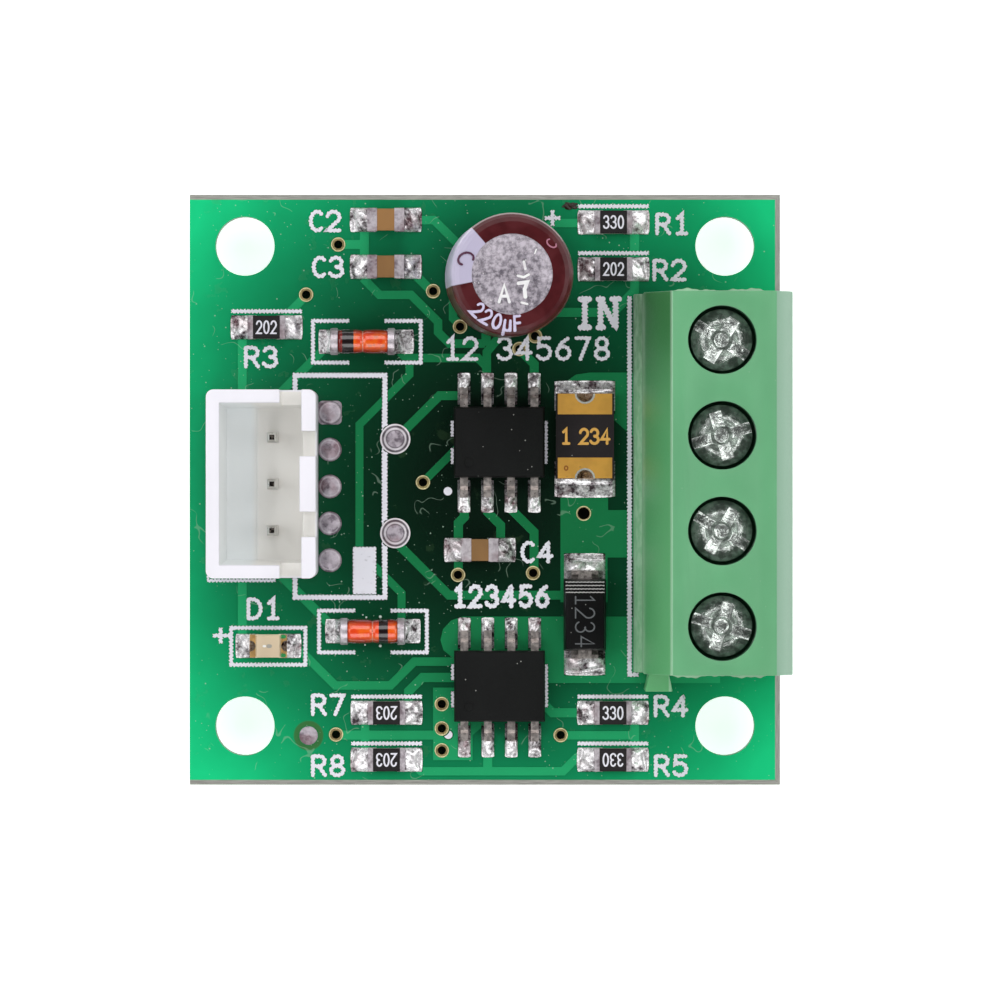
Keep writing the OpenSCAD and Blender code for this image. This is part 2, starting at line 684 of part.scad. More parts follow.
// Solder plug that fills a hole and domes over both pads
module plug(r, ring) {
    rotate_extrude() polygon(concat(
        [[0, -dome], [r * 0.6, -dome * 0.7], [r + ring, -0.04], [r + ring, 0], [r, 0], [r, board_t]],
        [[r + ring, board_t], [r + ring, seat], [r + ring * 0.4, seat + 0.02], [r * 0.6, seat + dome * 0.7]],
        [[0, seat + dome]]
    ));
}

module filled_holes() {
    color("silver") {
        for (i = [0:3]) translate(plugs[i]) plug(plug_bore / 2, plug_ring);
        translate(plugs[4]) {
            plug(plug_bore / 2, plug_ring);
            translate([0, 0, board_t]) linear_extrude(pad_t)
                rounded(plug_bore + 2 * plug_ring, plug_bore + 2 * plug_ring, 0.25);
        }
        for (p = pegs) translate(p) plug(peg_bore / 2, peg_ring);
        translate(test_at) plug(plug_bore / 2 - 0.1, 0.6 - plug_bore / 2);
    }
}

// Screw terminal

module term_profile() {
    polygon([
        [term_x0 - foot_w, 0], [term_x1, 0], [term_x1, term_h - bevel_h], [term_x1 - bevel_w, term_h],
        [term_x0 + shoulder_w, term_h], [term_x0, term_h - shoulder_h], [term_x0, foot_h],
        [term_x0 - foot_w * 0.45, foot_h - 0.15], [term_x0 - foot_w, foot_h - 0.55]
    ]);
}

// Dovetail in plan, standing out of the end wall
module dovetail(grow) {
    linear_extrude(term_h - shoulder_h + grow) polygon([
        [0.35 - grow, 0.2], [1.3 + grow, 0.2], [1.56 + grow, -rib - grow], [0.09 - grow, -rib - grow]
    ]);
}

// Mouth of a wire entry, wider at the face
module wire_mouth(low, high) {
    d = term_x1 - well_x1;
    intersection() {
        along_y(9) polygon([
            [-e, low], [d * 0.6, low], [d + e, low - 0.25], [d + e, high + 0.3], [d * 0.6, high], [-e, high]
        ]);
        linear_extrude(term_h) polygon([
            [-e, -1.4], [d * 0.6, -1.4], [d + e, -1.9], [d + e, 1.9], [d * 0.6, 1.4], [-e, 1.4]
        ]);
    }
}

module terminal_housing() {
    color("mediumseagreen") translate([0, 0, deck]) difference() {
        union() {
            translate([0, (term_y0 + term_y1) / 2, 0]) along_y(term_y1 - term_y0) term_profile();
            translate([term_x0, term_y0, 0]) dovetail(0);
        }
        translate([term_x0, term_y1, -e]) dovetail(0.06);
        for (y = poles) translate([0, y, -deck]) {
            translate([screw_x, 0, shelf_z]) cylinder(d = well_d, h = term_h);
            translate([screw_x, 0, deck]) cylinder(d = shank_d + 2 * shank_clear, h = term_h - 1);
            translate([well_x0, -cage_w / 2 - cage_clear, deck - e])
                cube([well_x1 - well_x0, cage_w + 2 * cage_clear, shelf_z - shelf_t - deck + e]);
            translate([tail_x, -tail_w / 2, deck - e]) cube([well_x0 - tail_x + e, tail_w, bar_top - deck + e]);
            translate([well_x1 - e, -bar_w / 2, bar_z]) cube([0.4 + e, bar_w, bar_t]);
            translate([well_x1, 0, 0]) wire_mouth(cage_z + cage_floor, bar_z - cage_play);
        }
    }
}

module terminal_contacts() {
    color("gainsboro") for (y = poles) translate([0, y, 0]) {
        translate([well_x0, -bar_w / 2, bar_z]) cube([well_x1 + 0.4 - well_x0, bar_w, bar_t]);
        translate([tail_x, -tail_w / 2, bar_z]) cube([well_x0 - tail_x, tail_w, bar_t]);
        intersection() {
            translate([0, 0, 0]) along_y(tail_w) polygon([
                [tail_x, bar_z], [tail_x, 0.3 - tail], [tail_x + 0.15, -tail],
                [tail_x + tail_t - 0.15, -tail], [tail_x + tail_t, 0.3 - tail], [tail_x + tail_t, bar_z]
            ]);
            translate([tail_x + tail_t / 2, 0, 0]) along_x(tail_t) polygon([
                [-tail_w / 2, bar_z], [-tail_w / 2, 0.3 - tail], [0.25 - tail_w / 2, -tail],
                [tail_w / 2 - 0.25, -tail], [tail_w / 2, 0.3 - tail], [tail_w / 2, bar_z]
            ]);
        }
    }
}

module clamp_screw(i) {
    r = screw_head_d / 2;
    ball = (r * r + screw_dome * screw_dome) / (2 * screw_dome);
    half = asin(r / ball);
    color("lightgray") translate([screw_x, poles[i], 0]) difference() {
        rotate_extrude() polygon(concat(
            [[0, bar_top + 0.1], [shank_d / 2 - 0.3, bar_top + 0.1], [shank_d / 2, bar_top + 0.4]],
            [[shank_d / 2, shelf_z], [r, shelf_z]],
            [for (k = [6:-1:0]) [ball * sin(half * k / 6), head_top - ball + ball * cos(half * k / 6)]]
        ));
        translate([0, 0, head_top]) rotate(head_turn[i]) {
            translate([0, 0, -0.66]) box(screw_head_d + 1, screw_slot, 2);
            translate([0, 0, -0.8]) box(0.66, 2.6, 2);
            translate([0, 0, -1]) cylinder(d1 = recess_d * 0.4, d2 = recess_d, h = 1);
        }
    }
}

module clamp_cage(i) {
    color("silver") translate([screw_x, poles[i], cage_z]) difference() {
        along_x(cage_l) difference() {
            translate([0, cage_h / 2]) rounded(cage_w, cage_h, 0.25);
            translate([cage_wall - cage_w / 2, cage_floor])
                square([cage_w - 2 * cage_wall, cage_h - cage_floor - cage_top]);
        }
        translate([0, 0, cage_floor]) cylinder(r = shank_d / 2 + thread_clear, h = cage_h);
    }
}

module terminal_screw_1() { clamp_screw(0); }
module terminal_screw_2() { clamp_screw(1); }
module terminal_screw_3() { clamp_screw(2); }
module terminal_screw_4() { clamp_screw(3); }
module terminal_cage_1() { clamp_cage(0); }
module terminal_cage_2() { clamp_cage(1); }
module terminal_cage_3() { clamp_cage(2); }
module terminal_cage_4() { clamp_cage(3); }

// Plug header

module header_housing() {
    mid = (head_x0 + head_x1) / 2;
    in_x0 = head_x0 + head_wall;
    in_x1 = head_x1 - head_wall - 0.08;
    in_l = head_l - 2 * head_wall;
    color("whitesmoke") translate([0, pin_at[1], deck]) difference() {
        union() {
            translate([mid, 0, 0]) linear_extrude(head_h) rounded(head_d, head_l, 0.4);
        }
        difference() {
            intersection() {
                along_y(head_l) polygon([
                    [in_x0 + head_lean, head_floor], [in_x1, head_floor], [in_x1, head_h + e], [in_x0, head_h + e]
                ]);
                along_x(2 * board_len) polygon([
                    [head_lean - in_l / 2, head_floor], [in_l / 2 - head_lean, head_floor],
                    [in_l / 2, head_h + e], [-in_l / 2, head_h + e]
                ]);
            }
            translate([in_x1 - 0.1, slot_w / 2 - slot_off, 0]) cube([1, 2 * slot_off - slot_w, head_h + 1]);
            translate([pin_at[0] - 0.9, -in_l / 2, 0]) cube([in_x1 - pin_at[0] + 0.9, in_l, head_floor + 0.2]);
        }
        for (s = [-1, 1]) {
            translate([in_x1 - 0.2, s * slot_off - slot_w / 2, head_h - slot_h]) cube([2, slot_w, slot_h + 1]);
            translate([in_x1 - notch_w, s * head_l / 2 - 1.2, head_h - slot_h + 0.4]) cube([notch_w, 2.4, slot_h]);
        }
        for (i = [-1:1]) translate([pin_at[0], i * pin_pitch, -1]) box(pin_w, pin_w, head_floor + 3);
        for (s = [-1, 1]) translate([mid, s * (head_l / 2 - 0.9), -e]) box(head_d - 2.4, 0.7, 0.5 + e);
    }
}

module header_pins() {
    top = deck + head_floor + pin_up;
    color("silver") for (p = pins) translate([p[0], p[1], 0]) intersection() {
        along_y(pin_w) pin_shape(top);
        along_x(pin_w) pin_shape(top);
    }
}

module pin_shape(top) {
    a = pin_w / 2;
    b = pin_w / 2 - 0.14;
    polygon([
        [-b, -tail], [b, -tail], [a, 0.4 - tail], [a, top - 0.5], [b, top], [-b, top], [-a, top - 0.5], [-a, 0.4 - tail]
    ]);
}

// Electrolytic capacitor, which leans a little

module tilted() {
    translate([can_at[0], can_at[1], board_t]) rotate(lean_to) rotate([0, lean, 0]) rotate(-lean_to) children();
}

// Outer edge of the can from its foot to its top disc, moved out by g
function can_side(g) = let (r = can_d / 2 + g, c = seal_h) [
    [r - 0.6, can_gap - g], [r - 0.15, can_gap - g], [r, can_gap + 0.15],
    [r, can_gap + c - 0.25], [r - crimp, can_gap + c], [r - crimp, can_gap + c + 0.25], [r, can_gap + c + 0.5],
    [r, can_gap + can_h - 0.5], [r - 0.08, can_gap + can_h - 0.22 + g / 2],
    [r - 0.24, can_gap + can_h - 0.06 + g], [r - 0.46, can_gap + can_h + g]
];

module capacitor_can() {
    r = can_d / 2;
    w = can_wall;
    c = can_gap + seal_h;
    top = can_gap + can_h;
    color("lightgray") tilted() rotate_extrude($fn = 64) polygon(concat(
        can_side(0),
        [[disc_d / 2, top], [disc_d / 2 - 0.2, top - 0.05], [0, top - 0.05], [0, top - w - 0.05]],
        [[r - w - 0.4, top - w - 0.05], [r - w, top - 0.6], [r - w, c + 0.55], [r - w - crimp, c + 0.3]],
        [[r - w - crimp, c - 0.05], [r - w, c - 0.3], [r - w, can_gap + w], [r - 0.6, can_gap + w]]
    ));
}

module capacitor_sleeve() {
    top = can_gap + can_h;
    a = can_side(0);
    b = can_side(sleeve_t);
    n = len(a) - 1;
    color("brown") tilted() rotate_extrude($fn = 64) polygon(concat(
        [[can_d / 2 - 0.6, can_gap - sleeve_t]],
        [for (i = [1:n]) b[i]],
        [[disc_d / 2, top + sleeve_t], [disc_d / 2, top]],
        [for (i = [n:-1:0]) a[i]]
    ));
}

module capacitor_seal() {
    r = can_d / 2 - can_wall;
    c = can_gap + seal_h;
    low = can_gap + can_wall;
    color("dimgray") tilted() difference() {
        rotate_extrude() polygon([
            [0, low], [r, low], [r, c - 0.3], [r - crimp, c - 0.05], [r - crimp, c + 0.25], [0, c + 0.25]
        ]);
        for (s = [-1, 1]) translate([s * can_pitch / 2, 0, -1]) cylinder(d = can_lead, h = 9, $fn = 24);
    }
}

module capacitor_winding() {
    r = can_d / 2 - can_wall - crimp;
    c = can_gap + seal_h + 0.25;
    color("tan") tilted() difference() {
        translate([0, 0, c]) cylinder(r = r, h = can_gap + can_h - can_wall - 0.3 - c);
        for (s = [-1, 1]) translate([s * can_pitch / 2, 0, 0]) cylinder(d = can_lead, h = c + 1, $fn = 24);
    }
}

module capacitor_leads() {
    low = -board_t - 1.5;
    color("silver") tilted() for (s = [-1, 1]) translate([s * can_pitch / 2, 0, low])
        cylinder(d = can_lead, h = can_gap + seal_h + 1.25 - low, $fn = 24);
}

// Eight-lead chips

module so_leads(grow = 0) {
    z = so_gap + so_h * 0.48;
    for (i = [-1.5:1.5], s = [-1, 1]) translate([i * so_pitch, 0, 0]) rotate(90 * s)
        along_y(lead_w) polygon(stroke([
            [so_wid / 2 - 0.3, z], [so_wid / 2 + 0.36, z],
            [so_wid / 2 + 0.56, lead_t / 2], [so_span / 2 - grow, lead_t / 2]
        ], lead_t / 2));
}

module so_body(i) {
    color("#262628") translate([so_at[i][0], so_at[i][1], seat]) difference() {
        translate([0, 0, so_gap]) moulding(so_len, so_wid, so_h, so_h * 0.48);
        so_leads();
        translate([-1.64, -1.1, so_gap + so_h - 0.05]) cylinder(r = 0.26, h = 1, $fn = 24);
    }
}

module chip_1_body() { so_body(0); }
module chip_2_body() { so_body(1); }
module chip_1_leads() { color("silver") translate([so_at[0][0], so_at[0][1], seat]) so_leads(); }
module chip_2_leads() { color("silver") translate([so_at[1][0], so_at[1][1], seat]) so_leads(); }

// Fuse

module fuse_outline(grow) {
    difference() {
        square([fuse_l, fuse_w - 2 * grow], center = true);
        for (s = [-1, 1]) translate([s * fuse_l / 2, 0]) circle(notch_r);
    }
}

module fuse_body() {
    color("#4a4447") translate([fuse_at[0], fuse_at[1] + fuse_shift, seat]) rotate(90) difference() {
        linear_extrude(fuse_h) fuse_outline(0);
        fuse_metal();
    }
}

module fuse_metal() {
    t = 0.05;
    for (s = [-1, 1], z = [0, fuse_h - t]) translate([0, 0, z]) linear_extrude(t) intersection() {
        fuse_outline(0.1);
        translate([s * (fuse_l / 2 - strip_l / 2), 0]) square([strip_l, fuse_w], center = true);
    }
    for (s = [-1, 1]) translate([s * fuse_l / 2, 0, 0]) linear_extrude(fuse_h) difference() {
        translate([-s * notch_r, 0]) square([2 * notch_r, 2 * notch_r + 0.2], center = true);
        circle(notch_r);
        translate([-s * (notch_r + 1.05), 0]) square([2, 3], center = true);
        translate([-s * notch_r, 0]) difference() {
            square([2 * notch_r + 1, 3], center = true);
            translate([s * notch_r, 0]) circle(notch_r + 0.05);
        }
    }
}

module fuse_terminals() {
    color("gold") translate([fuse_at[0], fuse_at[1] + fuse_shift, seat]) rotate(90) fuse_metal();
}

// Rectifier

function rect_out() = rect_l / 2 + 0.42;

module rect_lead_metal() {
    t = 0.2;
    z = rect_h * 0.5;
    both_ends() {
        along_y(rect_lead / 2) polygon(stroke([
            [rect_l / 2 - 0.3, z], [rect_out() - t / 2, z], [rect_out() - t / 2, z - 0.5]
        ], t / 2));
        along_y(rect_lead) polygon(stroke([
            [rect_out() - t / 2, z - 0.35], [rect_out() - t / 2, t / 2], [rect_l / 2 - 0.75, t / 2]
        ], t / 2));
    }
}

module rectifier_body() {
    color("#232325") translate([rect_at[0], rect_at[1], seat]) rotate(90) difference() {
        translate([0, 0, 0.24]) moulding(rect_l, rect_w, rect_h - 0.24, rect_h * 0.5 - 0.24);
        rect_lead_metal();
    }
}

module rectifier_leads() {
    color("silver") translate([rect_at[0], rect_at[1], seat]) rotate(90) rect_lead_metal();
}

// Glass diodes

module melf_place(i) {
    translate([melf_at[i][0] + melf_shift[i], melf_at[i][1], seat + melf_d / 2]) rotate([0, 90, 0]) children();
}

module melf_glass(i) {
    g = melf_l / 2 - melf_cap;
    r = glass_d / 2;
    color("orangered") melf_place(i) rotate_extrude() polygon([
        [r - glass_wall, -g], [r - 0.06, -g], [r, -g + 0.1], [r, g - 0.1], [r - 0.06, g], [r - glass_wall, g]
    ]);
}

module melf_caps(i) {
    g = melf_l / 2 - melf_cap;
    s = glass_d / 2 - glass_wall;
    color("silver") melf_place(i) for (k = [0, 1]) mirror([0, 0, k]) rotate_extrude() polygon([
        [0, die_t / 2], [s - 0.06, die_t / 2], [s, die_t / 2 + 0.06], [s, g], [melf_d / 2, g],
        [melf_d / 2, melf_l / 2 - 0.06], [melf_d / 2 - 0.06, melf_l / 2], [0, melf_l / 2]
    ]);
}

module diode_1_glass() { melf_glass(0); }
module diode_2_glass() { melf_glass(1); }
module diode_1_caps() { melf_caps(0); }
module diode_2_caps() { melf_caps(1); }

module diode_dies() {
    color("gray") for (i = [0, 1]) melf_place(i) translate([0, 0, -die_t / 2]) box(0.45, 0.45, die_t);
}

// Indicator

module led_outline() {
    difference() {
        square([chip_l, chip_w], center = true);
        for (s = [-1, 1]) translate([s * chip_l / 2, 0]) circle(led_notch, $fn = 24);
    }
}

module led_metal() {
    strip = (chip_l - led_lens_l) / 2;
    for (s = [-1, 1]) {
        for (z = [0, led_base - end_t]) translate([0, 0, z]) linear_extrude(end_t) intersection() {
            led_outline();
            translate([s * (chip_l / 2 - strip / 2), 0]) square([strip, chip_w], center = true);
        }
        translate([s * chip_l / 2, 0, 0]) linear_extrude(led_base) intersection() {
            difference() {
                circle(led_notch + end_t, $fn = 24);
                circle(led_notch, $fn = 24);
            }
            translate([-s * 0.5, 0]) square([1, 2], center = true);
        }
    }
}

module led_base() {
    color("ivory") translate([led_at[0], led_at[1], seat]) difference() {
        linear_extrude(led_base) led_outline();
        led_metal();
    }
}

module led_terminals() {
    color("gold") translate([led_at[0], led_at[1], seat]) led_metal();
}

module led_lens() {
    h = led_lens_h;
    a = led_lens_l / 2;
    color("wheat") translate([led_at[0], led_at[1], seat + led_base]) along_y(chip_w - 0.1)
        polygon([[-a, 0], [a, 0], [a - 0.08, h], [0.08 - a, h]]);
}

// Chip resistors

module res_body(i) {
    top = chip_l / 2 - res_end;
    color("#f0ede6") translate([res_at[i][0], res_at[i][1], seat]) {
        translate([0, 0, end_t]) box(chip_l - 2 * end_t, chip_w, res_t - 2 * end_t);
        translate([0, 0, res_t - end_t]) box(2 * top, chip_w - 0.08, end_t);
    }
}

module res_ends(i) {
    a = chip_l / 2;
    color("silver") translate([res_at[i][0], res_at[i][1], seat]) both_ends() along_y(chip_w) polygon([
        [a, 0], [a, res_t], [a - res_end, res_t], [a - res_end, res_t - end_t], [a - end_t, res_t - end_t],
        [a - end_t, end_t], [a - res_end - 0.08, end_t], [a - res_end - 0.08, 0]
    ]);
}

module resistor_1_body() { res_body(0); }
module resistor_2_body() { res_body(1); }
module resistor_3_body() { res_body(2); }
module resistor_4_body() { res_body(3); }
module resistor_5_body() { res_body(4); }
module resistor_6_body() { res_body(5); }
module resistor_7_body() { res_body(6); }
module resistor_1_ends() { res_ends(0); }
module resistor_2_ends() { res_ends(1); }
module resistor_3_ends() { res_ends(2); }
module resistor_4_ends() { res_ends(3); }
module resistor_5_ends() { res_ends(4); }
module resistor_6_ends() { res_ends(5); }
module resistor_7_ends() { res_ends(6); }

// Chip capacitors

module mlc_body(i) {
    color("#a08060") translate([mlc_at[i][0], mlc_at[i][1], seat + end_t])
        box(chip_l - 2 * end_t, chip_w - 2 * end_t, mlc_t - 2 * end_t);
}

module mlc_ends(i) {
    color("silver") translate([mlc_at[i][0], mlc_at[i][1], seat]) both_ends() difference() {
        translate([chip_l / 2 - mlc_end, -chip_w / 2, 0]) cube([mlc_end, chip_w, mlc_t]);
        translate([0, 0, end_t]) box(chip_l - 2 * end_t, chip_w - 2 * end_t, mlc_t - 2 * end_t);
    }
}

module ceramic_1_body() { mlc_body(0); }
module ceramic_2_body() { mlc_body(1); }
module ceramic_3_body() { mlc_body(2); }
module ceramic_1_ends() { mlc_ends(0); }
module ceramic_2_ends() { mlc_ends(1); }
module ceramic_3_ends() { mlc_ends(2); }

board();
top_tracks();
via_eyelets();
legend();
smd_solder();
pin_solder();
filled_holes();
terminal_housing();
terminal_contacts();
terminal_screw_1();
terminal_screw_2();
terminal_screw_3();
terminal_screw_4();
terminal_cage_1();
terminal_cage_2();
terminal_cage_3();
terminal_cage_4();
header_housing();
header_pins();
capacitor_can();
capacitor_sleeve();
capacitor_seal();
capacitor_winding();
capacitor_leads();
chip_1_body();
chip_1_leads();
chip_2_body();
chip_2_leads();
fuse_body();
fuse_terminals();
rectifier_body();
rectifier_leads();
diode_1_glass();
diode_1_caps();
diode_2_glass();
diode_2_caps();
diode_dies();
led_base();
led_terminals();
led_lens();
resistor_1_body();
resistor_1_ends();
resistor_2_body();
resistor_2_ends();
resistor_3_body();
resistor_3_ends();
resistor_4_body();
resistor_4_ends();
resistor_5_body();
resistor_5_ends();
resistor_6_body();
resistor_6_ends();
resistor_7_body();
resistor_7_ends();
ceramic_1_body();
ceramic_1_ends();
ceramic_2_body();
ceramic_2_ends();
ceramic_3_body();
ceramic_3_ends();
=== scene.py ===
"""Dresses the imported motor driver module: finishes on its solids, and the finer pieces that stand on them."""

from __future__ import annotations

import logging
import math
from dataclasses import dataclass, replace
from enum import Enum
from typing import Callable, Iterable, Sequence, Union

import bmesh
import bpy
import numpy as np
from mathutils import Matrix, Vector

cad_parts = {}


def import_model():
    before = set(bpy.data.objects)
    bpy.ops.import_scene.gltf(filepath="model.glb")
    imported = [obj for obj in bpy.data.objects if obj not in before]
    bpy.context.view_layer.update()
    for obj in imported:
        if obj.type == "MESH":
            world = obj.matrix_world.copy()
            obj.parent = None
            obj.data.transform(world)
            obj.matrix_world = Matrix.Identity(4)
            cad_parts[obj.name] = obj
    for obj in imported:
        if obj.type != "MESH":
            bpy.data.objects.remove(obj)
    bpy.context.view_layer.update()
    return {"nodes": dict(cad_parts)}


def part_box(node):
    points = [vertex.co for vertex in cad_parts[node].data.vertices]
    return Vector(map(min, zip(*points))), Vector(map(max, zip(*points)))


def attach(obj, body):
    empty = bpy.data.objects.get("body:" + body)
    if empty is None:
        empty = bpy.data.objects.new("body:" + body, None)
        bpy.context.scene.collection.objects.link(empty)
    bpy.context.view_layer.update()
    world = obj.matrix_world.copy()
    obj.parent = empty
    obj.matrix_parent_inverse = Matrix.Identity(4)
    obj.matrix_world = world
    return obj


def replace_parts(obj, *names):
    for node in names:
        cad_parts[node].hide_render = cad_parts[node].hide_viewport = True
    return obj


LOG = logging.getLogger("module")
MM = 0.001
BODY = "module"
BOARD_TOP = 1.6
WELD = 0.0005 * MM
CREASE = math.radians(2)
Colour = tuple[float, float, float]


def srgb(red: int, green: int, blue: int) -> Colour:
    """Turns display values from 0 to 255 into a linear colour.

    Args:
        red: Red, 0 to 255.
        green: Green, 0 to 255.
        blue: Blue, 0 to 255.

    Returns:
        The linear colour.
    """
    def one(value: int) -> float:
        """Undoes the display curve of one channel."""
        c = value / 255
        return c / 12.92 if c <= 0.04045 else ((c + 0.055) / 1.055) ** 2.4

    return one(red), one(green), one(blue)


# Shading


class Value:
    """A shader number or colour: one output socket that takes part in arithmetic."""

    def __init__(self, graph: "Graph", socket: bpy.types.NodeSocket) -> None:
        """Keeps the socket and the graph that it belongs to."""
        self.graph = graph
        self.socket = socket

    def math(self, operation: str, *others: "Term") -> "Value":
        """Adds a Math node of this value and others."""
        return self.graph.node("ShaderNodeMath", {"operation": operation}, dict(enumerate((self, *others))))

    def __add__(self, other: "Term") -> "Value":
        """Sum."""
        return self.math("ADD", other)

    __radd__ = __add__

    def __mul__(self, other: "Term") -> "Value":
        """Product."""
        return self.math("MULTIPLY", other)

    __rmul__ = __mul__

    def __sub__(self, other: "Term") -> "Value":
        """Difference."""
        return self.math("SUBTRACT", other)

    def __rsub__(self, other: "Term") -> "Value":
        """Difference from a number."""
        return self.graph.node("ShaderNodeMath", {"operation": "SUBTRACT"}, {0: other, 1: self})

    def __truediv__(self, other: "Term") -> "Value":
        """Quotient."""
        return self.math("DIVIDE", other)

    def __pow__(self, other: "Term") -> "Value":
        """Power."""
        return self.math("POWER", other)

    def __abs__(self) -> "Value":
        """Size without its sign."""
        return self.math("ABSOLUTE")

    def most(self, other: "Term") -> "Value":
        """The larger of two values."""
        return self.math("MAXIMUM", other)

    def least(self, other: "Term") -> "Value":
        """The smaller of two values."""
        return self.math("MINIMUM", other)

    def rise(self, low: float, high: float) -> "Value":
        """Goes smoothly from 0 at low to 1 at high.

        Args:
            low: Value that gives 0.
            high: Value that gives 1.

        Returns:
            The eased value.
        """
        ends = {"From Min": low, "From Max": high, "Value": self}
        if low > high:
            ends.update({"From Min": high, "From Max": low})
        up = self.graph.node("ShaderNodeMapRange", {"interpolation_type": "SMOOTHSTEP"}, ends)
        return up if low < high else 1 - up

    def band(self, low: float, high: float, soft: float) -> "Value":
        """Is 1 between low and high, with soft edges."""
        return self.rise(low - soft, low + soft) * self.rise(high + soft, high - soft)


Term = Union[Value, float]


class Graph:
    """The nodes of one material, or of the world, around the shader that they feed."""

    def __init__(self, owner: Union[bpy.types.Material, bpy.types.World],
                 shader: str = "Principled BSDF") -> None:
        """Turns the owner's nodes on and keeps its shader.

        Args:
            owner: The material or world.
            shader: Name of the shader node.
        """
        self.owner = owner
        self.owner.use_nodes = True
        self.tree = self.owner.node_tree
        self.shader = self.tree.nodes[shader]

    def node(self, kind: str, settings: dict | None = None, sockets: dict | None = None,
             out: Union[int, str] = 0) -> Value:
        """Adds any node.

        Args:
            kind: The node's type.
            settings: Its attributes, set first; "stops" fills a colour ramp from low to high.
            sockets: Input socket to value or link.
            out: The output that is returned.

        Returns:
            The chosen output.
        """
        made = self.tree.nodes.new(kind)
        for key, value in (settings or {}).items():
            if key == "stops":
                ramp = made.color_ramp.elements
                ramp[1].position = value[-1][0]
                ramp[0].position = value[0][0]
                for place, _ in value[1:-1]:
                    ramp.new(place)
                for stop, (_, colour) in zip(ramp, value):
                    stop.color = (*colour, 1)
            else:
                setattr(made, key, value)
        for key, value in (sockets or {}).items():
            self.feed(made.inputs[key], value)
        return Value(self, made.outputs[out])

    def feed(self, socket: bpy.types.NodeSocket, value: Union[Value, float, Sequence[float]]) -> None:
        """Links or sets one input socket, and makes a colour of three numbers where the socket takes four.

        Args:
            socket: The input.
            value: A number, a colour, or another node's result.
        """
        if isinstance(value, Value):
            self.tree.links.new(value.socket, socket)
        elif socket.type == "RGBA" and len(value) == 3:
            socket.default_value = (*value, 1)
        else:
            socket.default_value = value

    def place(self) -> Value:
        """The point's place in the part's frame, in millimetres."""
        spot = self.node("ShaderNodeTexCoord", out="Object")
        return self.node("ShaderNodeVectorMath", {"operation": "SCALE"}, {0: spot, "Scale": 1 / MM})

    def moved(self, spot: Value, shift: Sequence[float] = (0, 0, 0),
              size: Sequence[float] = (1, 1, 1)) -> Value:
        """Moves and sizes a pattern's coordinates.

        Args:
            spot: The coordinates.
            shift: Shift after sizing.
            size: Factor along each axis.

        Returns:
            The new coordinates.
        """
        return self.node("ShaderNodeMapping", {"vector_type": "POINT"},
                         {"Vector": spot, "Location": shift, "Scale": size})

    def split(self, spot: Value) -> tuple[Value, Value, Value]:
        """The three parts of a vector."""
        parts = self.node("ShaderNodeSeparateXYZ", {}, {0: spot}).socket.node.outputs
        return Value(self, parts[0]), Value(self, parts[1]), Value(self, parts[2])

    def apart(self, spot: Value, at: Sequence[float]) -> Value:
        """Distance in plan from a point, in millimetres.

        Args:
            spot: The coordinates.
            at: The point's X and Y.

        Returns:
            The distance.
        """
        x, y, _ = self.split(spot)
        dx, dy = x - at[0], y - at[1]
        return (dx * dx + dy * dy) ** 0.5

    def noise(self, spot: Value, scale: float, detail: float = 2, rough: float = 0.5) -> Value:
        """Cloudy noise from 0 to 1, with about scale cells in a millimetre."""
        return self.node("ShaderNodeTexNoise", {},
                         {"Vector": spot, "Scale": scale, "Detail": detail, "Roughness": rough})

    def cells(self, spot: Value, scale: float) -> Value:
        """Distance from the nearest of scattered points, with about scale of them in a millimetre."""
        return self.node("ShaderNodeTexVoronoi", {}, {"Vector": spot, "Scale": scale})

    def blend(self, share: Term, first: Union[Value, Colour], second: Union[Value, Colour]) -> Value:
        """Mixes two colours by a share from 0 to 1."""
        return self.node("ShaderNodeMix", {"data_type": "RGBA"}, {0: share, 6: first, 7: second}, out=2)

    def bump(self, height: Value, depth: float) -> Value:
        """Turns a height from 0 to 1, whose depth is in millimetres, into a normal."""
        return self.node("ShaderNodeBump", {}, {"Height": height, "Distance": depth * MM, "Strength": 1.0})


@dataclass(frozen=True)
class Finish:
    """A plain finish: even colour and gloss with a fine grain."""

    name: str
    slot: str
    colour: Colour
    rough: float = 0.5
    metal: float = 0.0
    coat: float = 0.0
    gloss: float = 0.5
    grain: float = 8.0
    relief: float = 0.004
    spread: float = 0.12

    def tones(self) -> tuple[Colour, Colour]:
        """The darker and the lighter tone about the finish's colour."""
        dark = tuple(c * (1 - self.spread) for c in self.colour)
        return dark, tuple(min(1, c * (1 + self.spread)) for c in self.colour)

    def surface(self, graph: Graph) -> dict[str, Union[Value, Colour, float]]:
        """Socket values of the Principled shader.

        Args:
            graph: The material's graph.

        Returns:
            Socket name to value or link.
        """
        spot = graph.place()
        cloud = graph.noise(spot, self.grain * 0.2, 3)
        fine = graph.noise(spot, self.grain, 3)
        return {
            "Base Color": graph.blend(cloud.rise(0.3, 0.7), *self.tones()),
            "Roughness": self.rough * (0.85 + fine * 0.3),
            "Normal": graph.bump(fine, self.relief),
        }

    def material(self) -> bpy.types.Material:
        """The finish as a material, made once."""
        label = "finish_" + self.name
        known = bpy.data.materials.get(label)
        if known:
            return known
        graph = Graph(bpy.data.materials.new(label))
        graph.feed(graph.shader.inputs["Metallic"], self.metal)
        graph.feed(graph.shader.inputs["Coat Weight"], self.coat)
        graph.feed(graph.shader.inputs["Coat Roughness"], 0.12)
        graph.feed(graph.shader.inputs["Specular IOR Level"], self.gloss)
        for key, value in self.surface(graph).items():
            graph.feed(graph.shader.inputs[key], value)
        graph.owner.diffuse_color = (*self.colour, 1)
        return graph.owner


